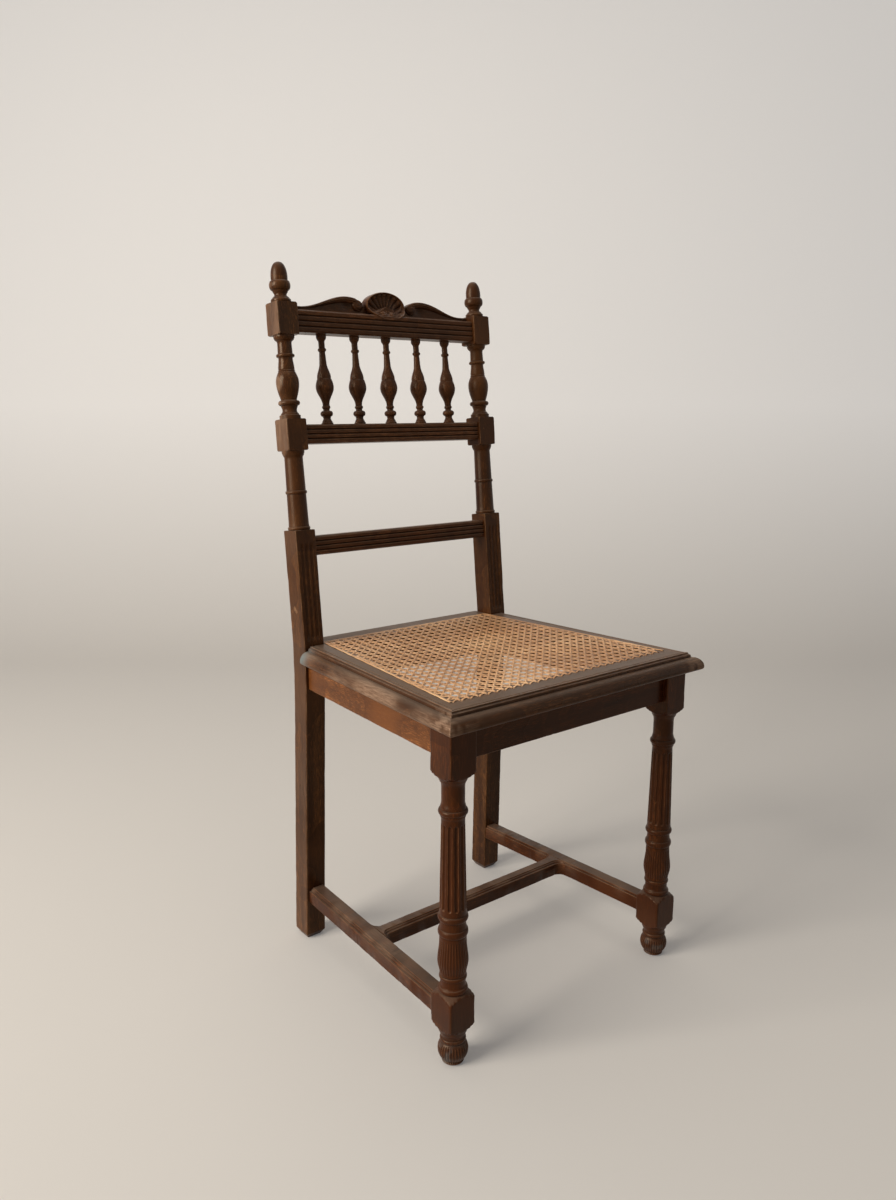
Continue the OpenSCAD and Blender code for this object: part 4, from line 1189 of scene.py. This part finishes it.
def stretcher_marks(co):
    """Tops of the stretchers rubbed by heels."""
    top = smooth(STRETCH_Z + 15, STRETCH_Z + 21, co[:, 2])
    return 0.35 * top * smooth(-0.3, 0.5, noise(co, 18, 15)), np.zeros(len(co))


def cane_marks(co):
    """Painted shade on strands where they pass under others and into their holes."""
    depth = CANE_Z + sag(co[:, 0], co[:, 1]) - co[:, 2]
    return np.zeros(len(co)), smooth(0.15, 0.75, depth)


# ---- camera, light and floor ----


VIEW_TURN = 38.72  # degrees that the camera looks to the right of straight back


def make_camera():
    lens = bpy.data.cameras.new("camera")
    lens.lens = 28.55
    lens.sensor_width = 36
    lens.clip_start, lens.clip_end = 0.05, 50
    camera = bpy.data.objects.new("camera", lens)
    camera.location = (-0.8478, -0.7901 + FRONT_Y, 0.7929)
    camera.rotation_euler = tuple(math.radians(a) for a in (78.53, 0, -VIEW_TURN))
    show(camera)
    bpy.context.scene.camera = camera


def area_light(name, place, aim, size, power, colour, spread=180):
    data = bpy.data.lights.new(name, "AREA")
    data.shape, data.size, data.size_y = "RECTANGLE", size[0], size[1]
    data.energy, data.color, data.spread = power, colour, math.radians(spread)
    lamp = bpy.data.objects.new(name, data)
    lamp.location = place
    lamp.rotation_euler = (Vector(aim) - Vector(place)).to_track_quat("-Z", "Y").to_euler()
    show(lamp)


def seen_rays(tree):
    """1 for the rays that show a thing, straight or in a reflection, and 0 for those that light the chair."""
    rays = add(tree, "ShaderNodeLightPath").outputs
    direct = sums(tree, "ADD", rays["Is Camera Ray"], rays["Is Glossy Ray"])
    return sums(tree, "ADD", direct, rays["Is Transmission Ray"])


def pale_ground():
    """Warm off-white ground; it looks a little brighter than it is lit, without lighting the chair."""
    mat, tree, shader = nodes_of("pale_ground")
    shader.inputs["Base Color"].default_value = (0.54, 0.49, 0.425, 1)
    shader.inputs["Roughness"].default_value = 0.8
    shader.inputs["Specular IOR Level"].default_value = 0.1
    seen = seen_rays(tree)
    place = add(tree, "ShaderNodeSeparateXYZ")
    link(tree, add(tree, "ShaderNodeTexCoord").outputs["Object"], place.inputs[0])
    lift = mask(tree, place.outputs["Z"], 0.0, 0.8, 0.12, 0.34)
    shader.inputs["Emission Color"].default_value = (0.97, 0.98, 1.0, 1)
    link(tree, sums(tree, "MULTIPLY", seen, lift), shader.inputs["Emission Strength"])
    return mat


def studio():
    """Pale floor that curves up into a pale wall behind the chair."""
    run, level, radius, height = 6.0, 1.6, 0.9, 4.0
    line = [(-run, 0.0), (level, 0.0)]
    curve = np.radians(range(10, 91, 10))
    line += [(level + radius * math.sin(a), radius * (1 - math.cos(a))) for a in curve]
    line.append((level + radius, height))
    way = np.array([math.sin(math.radians(VIEW_TURN)), math.cos(math.radians(VIEW_TURN))])
    across = np.array([way[1], -way[0]])
    verts, faces = [], []
    for d, z in line:
        for s in (-run, run):
            p = way * d + across * s
            verts.append((p[0], p[1], z))
    for k in range(len(line) - 1):
        faces.append((2 * k, 2 * k + 1, 2 * k + 3, 2 * k + 2))
    mesh = bpy.data.meshes.new("studio")
    mesh.from_pydata(verts, [], faces)
    mesh.shade_smooth()
    mesh.materials.append(pale_ground())
    ground = bpy.data.objects.new("studio", mesh)
    show(ground)


def world(colour, strength, shown):
    """Even light of one strength, seen as a backdrop of another."""
    sky = bpy.data.worlds.new("world")
    sky.use_nodes = True
    tree = sky.node_tree
    back = tree.nodes["Background"]
    back.inputs[0].default_value = (*colour, 1)
    link(tree, mask(tree, seen_rays(tree), 0, 1, strength, shown), back.inputs[1])
    bpy.context.scene.world = sky


# ---- the chair ----


def make_woods():
    """The walnut finishes, by kind of piece and axis of grain; each number is the strength of the streaks."""
    streaky = {"leg_z": 1.0, "post_z": 0.8, "leg_y": 1.0, "leg_x": 1.0, "side_y": 0.7, "frame_y": 1.0,
               "frame_x": 1.3, "dark_x": 1.0, "dark_z": 1.0}
    return {key: walnut_for(*key.split("_"), strength) for key, strength in streaky.items()}


def build_sides(wood, holes, drill):
    """The pieces that the chair has at its right and, mirrored, at its left."""
    leg, post = front_leg(1), rear_post(2)
    finial = lathe(finial_outline(), POST_X, 0, POST_L, 72, 1.6)
    rail, stretcher, edge = side_rail(), side_stretcher(), side_member()
    for label, sign, flip in (("right", 1, lambda p: p), ("left", -1, mirrored)):
        side_holes = ([(sign * x, y) for x, y in holes], *drill)
        for piece, part, node, key, extra in (
                ("turned_leg", leg, "front_leg", "leg_z", {"wear": 1.5, "marks": leg_marks}),
                ("back_post", post, "rear_post", "post_z", {"wear": 1.5, "marks": post_marks}),
                ("acorn", finial, "finial", "post_z", {"sharp": 60, "marks": post_marks}),
                ("side_rail", rail, "seat_rail", "side_y", {}),
                ("stretcher_bar", stretcher, "stretcher", "leg_y", {"marks": stretcher_marks}),
                ("frame_side", edge, "seat_frame", "frame_y", {"holes": side_holes, "marks": frame_marks})):
            make_piece(f"{piece}_{label}", flip(part), [f"{node}_{label}"], "walnut", wood[key], **extra)


def build_back(wood):
    rails = (("crest", crest_rail(), "crest_rail"),
             ("gallery", back_rail(GALLERY_W, GALLERY_D, GALLERY_H), "gallery_rail"),
             ("lower_rail", back_rail(LOWER_W, LOWER_D, LOWER_H), "lower_back_rail"))
    for name, part, node in rails:
        make_piece(name, part, [node], "dark_walnut", wood["dark_x"])
    for i in range(5):
        turned = lathe(spindle_outline(), (i - 2) * SPINDLE_PITCH, SPINDLE_D, SPINDLE_FOOT)
        make_piece(f"turned_spindle_{i + 1}", turned, [f"spindle_{i + 1}"], "dark_walnut", wood["dark_z"],
                   sharp=60)


def build_seat(wood, front, rear, drill):
    reach = LEG_X - BLOCK / 2 + LAP
    apron = along_x(board(APRON_Y, APRON_Y + RAIL_T, FRONT_RAIL_Z, DECK), -reach, reach)
    make_piece("front_apron", apron, ["seat_rail_front"], "dark_walnut", wood["leg_x"])
    y = POST_D + SEAT_D - REAR_IN
    apron = along_x(board(y - RAIL_T, y, RAIL_Z, DECK), -POST_IN - LAP, POST_IN + LAP)
    make_piece("rear_apron", apron, ["seat_rail_rear"], "dark_walnut", wood["dark_x"])
    make_piece("frame_front", front_member(), ["seat_frame_front"], "walnut", wood["frame_x"],
               holes=(front, *drill), marks=frame_marks)
    make_piece("frame_rear", rear_member(), ["seat_frame_rear"], "walnut", wood["frame_x"],
               holes=(rear, *drill), marks=frame_marks)
    make_piece("stretcher_bar_cross", cross_stretcher(), ["stretcher_cross"], "walnut", wood["leg_x"],
               marks=stretcher_marks)


def build_cane():
    grains = {"cane_lengthwise": "y", "cane_crosswise": "x", "cane_diagonal_a": "xy", "cane_diagonal_b": "xy"}
    for name, lines in cane_sets().items():
        strands = join(*[strand(p) for p in lines if p is not None])
        make_piece(name, strands, ["cane_seat"], "cane", cane_finish(name, grains[name]), wear=0, sharp=60,
                   marks=cane_marks)
    make_piece("cane_binder", binders(), ["cane_seat"], "cane", cane_finish("cane_binder", "xy"), wear=0,
               sharp=60)


def build():
    wood = make_woods()
    hidden = walnut("hidden_wood", "x", (0.50, 0.36, 0.22), (0.36, 0.24, 0.14), (0.6, 0.5, 0.38), 0.6)
    front, rear, holes = hole_rows()
    drill = (HOLE_R, DECK - 1, SEAT + 1)
    build_sides(wood, holes, drill)
    build_back(wood)
    build_seat(wood, front, rear, drill)
    build_cane()
    for node in ("corner_blocks_front", "corner_blocks_rear", "frame_dowels"):
        cad = frame["nodes"][node]
        cad.data.materials.clear()
        cad.data.materials.append(hidden)


make_camera()
studio()
world((0.98, 0.98, 1.0), 0.10, 0.66)
area_light("window", (-3.5, 0.45, 1.9), (0, 0, 0.55), (2.0, 2.4), 127, (1.0, 0.98, 0.95), 150)
area_light("ceiling", (-0.2, 0.2, 2.7), (0, 0, 0), (2.4, 2.4), 22, (1.0, 0.98, 0.96))
area_light("fill", (1.0, -2.6, 1.6), (0, 0, 0.5), (2.0, 2.0), 2, (1.0, 0.96, 0.92))
area_light("right_rear", (2.8, 1.7, 1.8), (0, 0, 0.5), (2.2, 2.2), 45, (1.0, 0.98, 0.96))
build()
bpy.context.scene.view_settings.view_transform = "Standard"
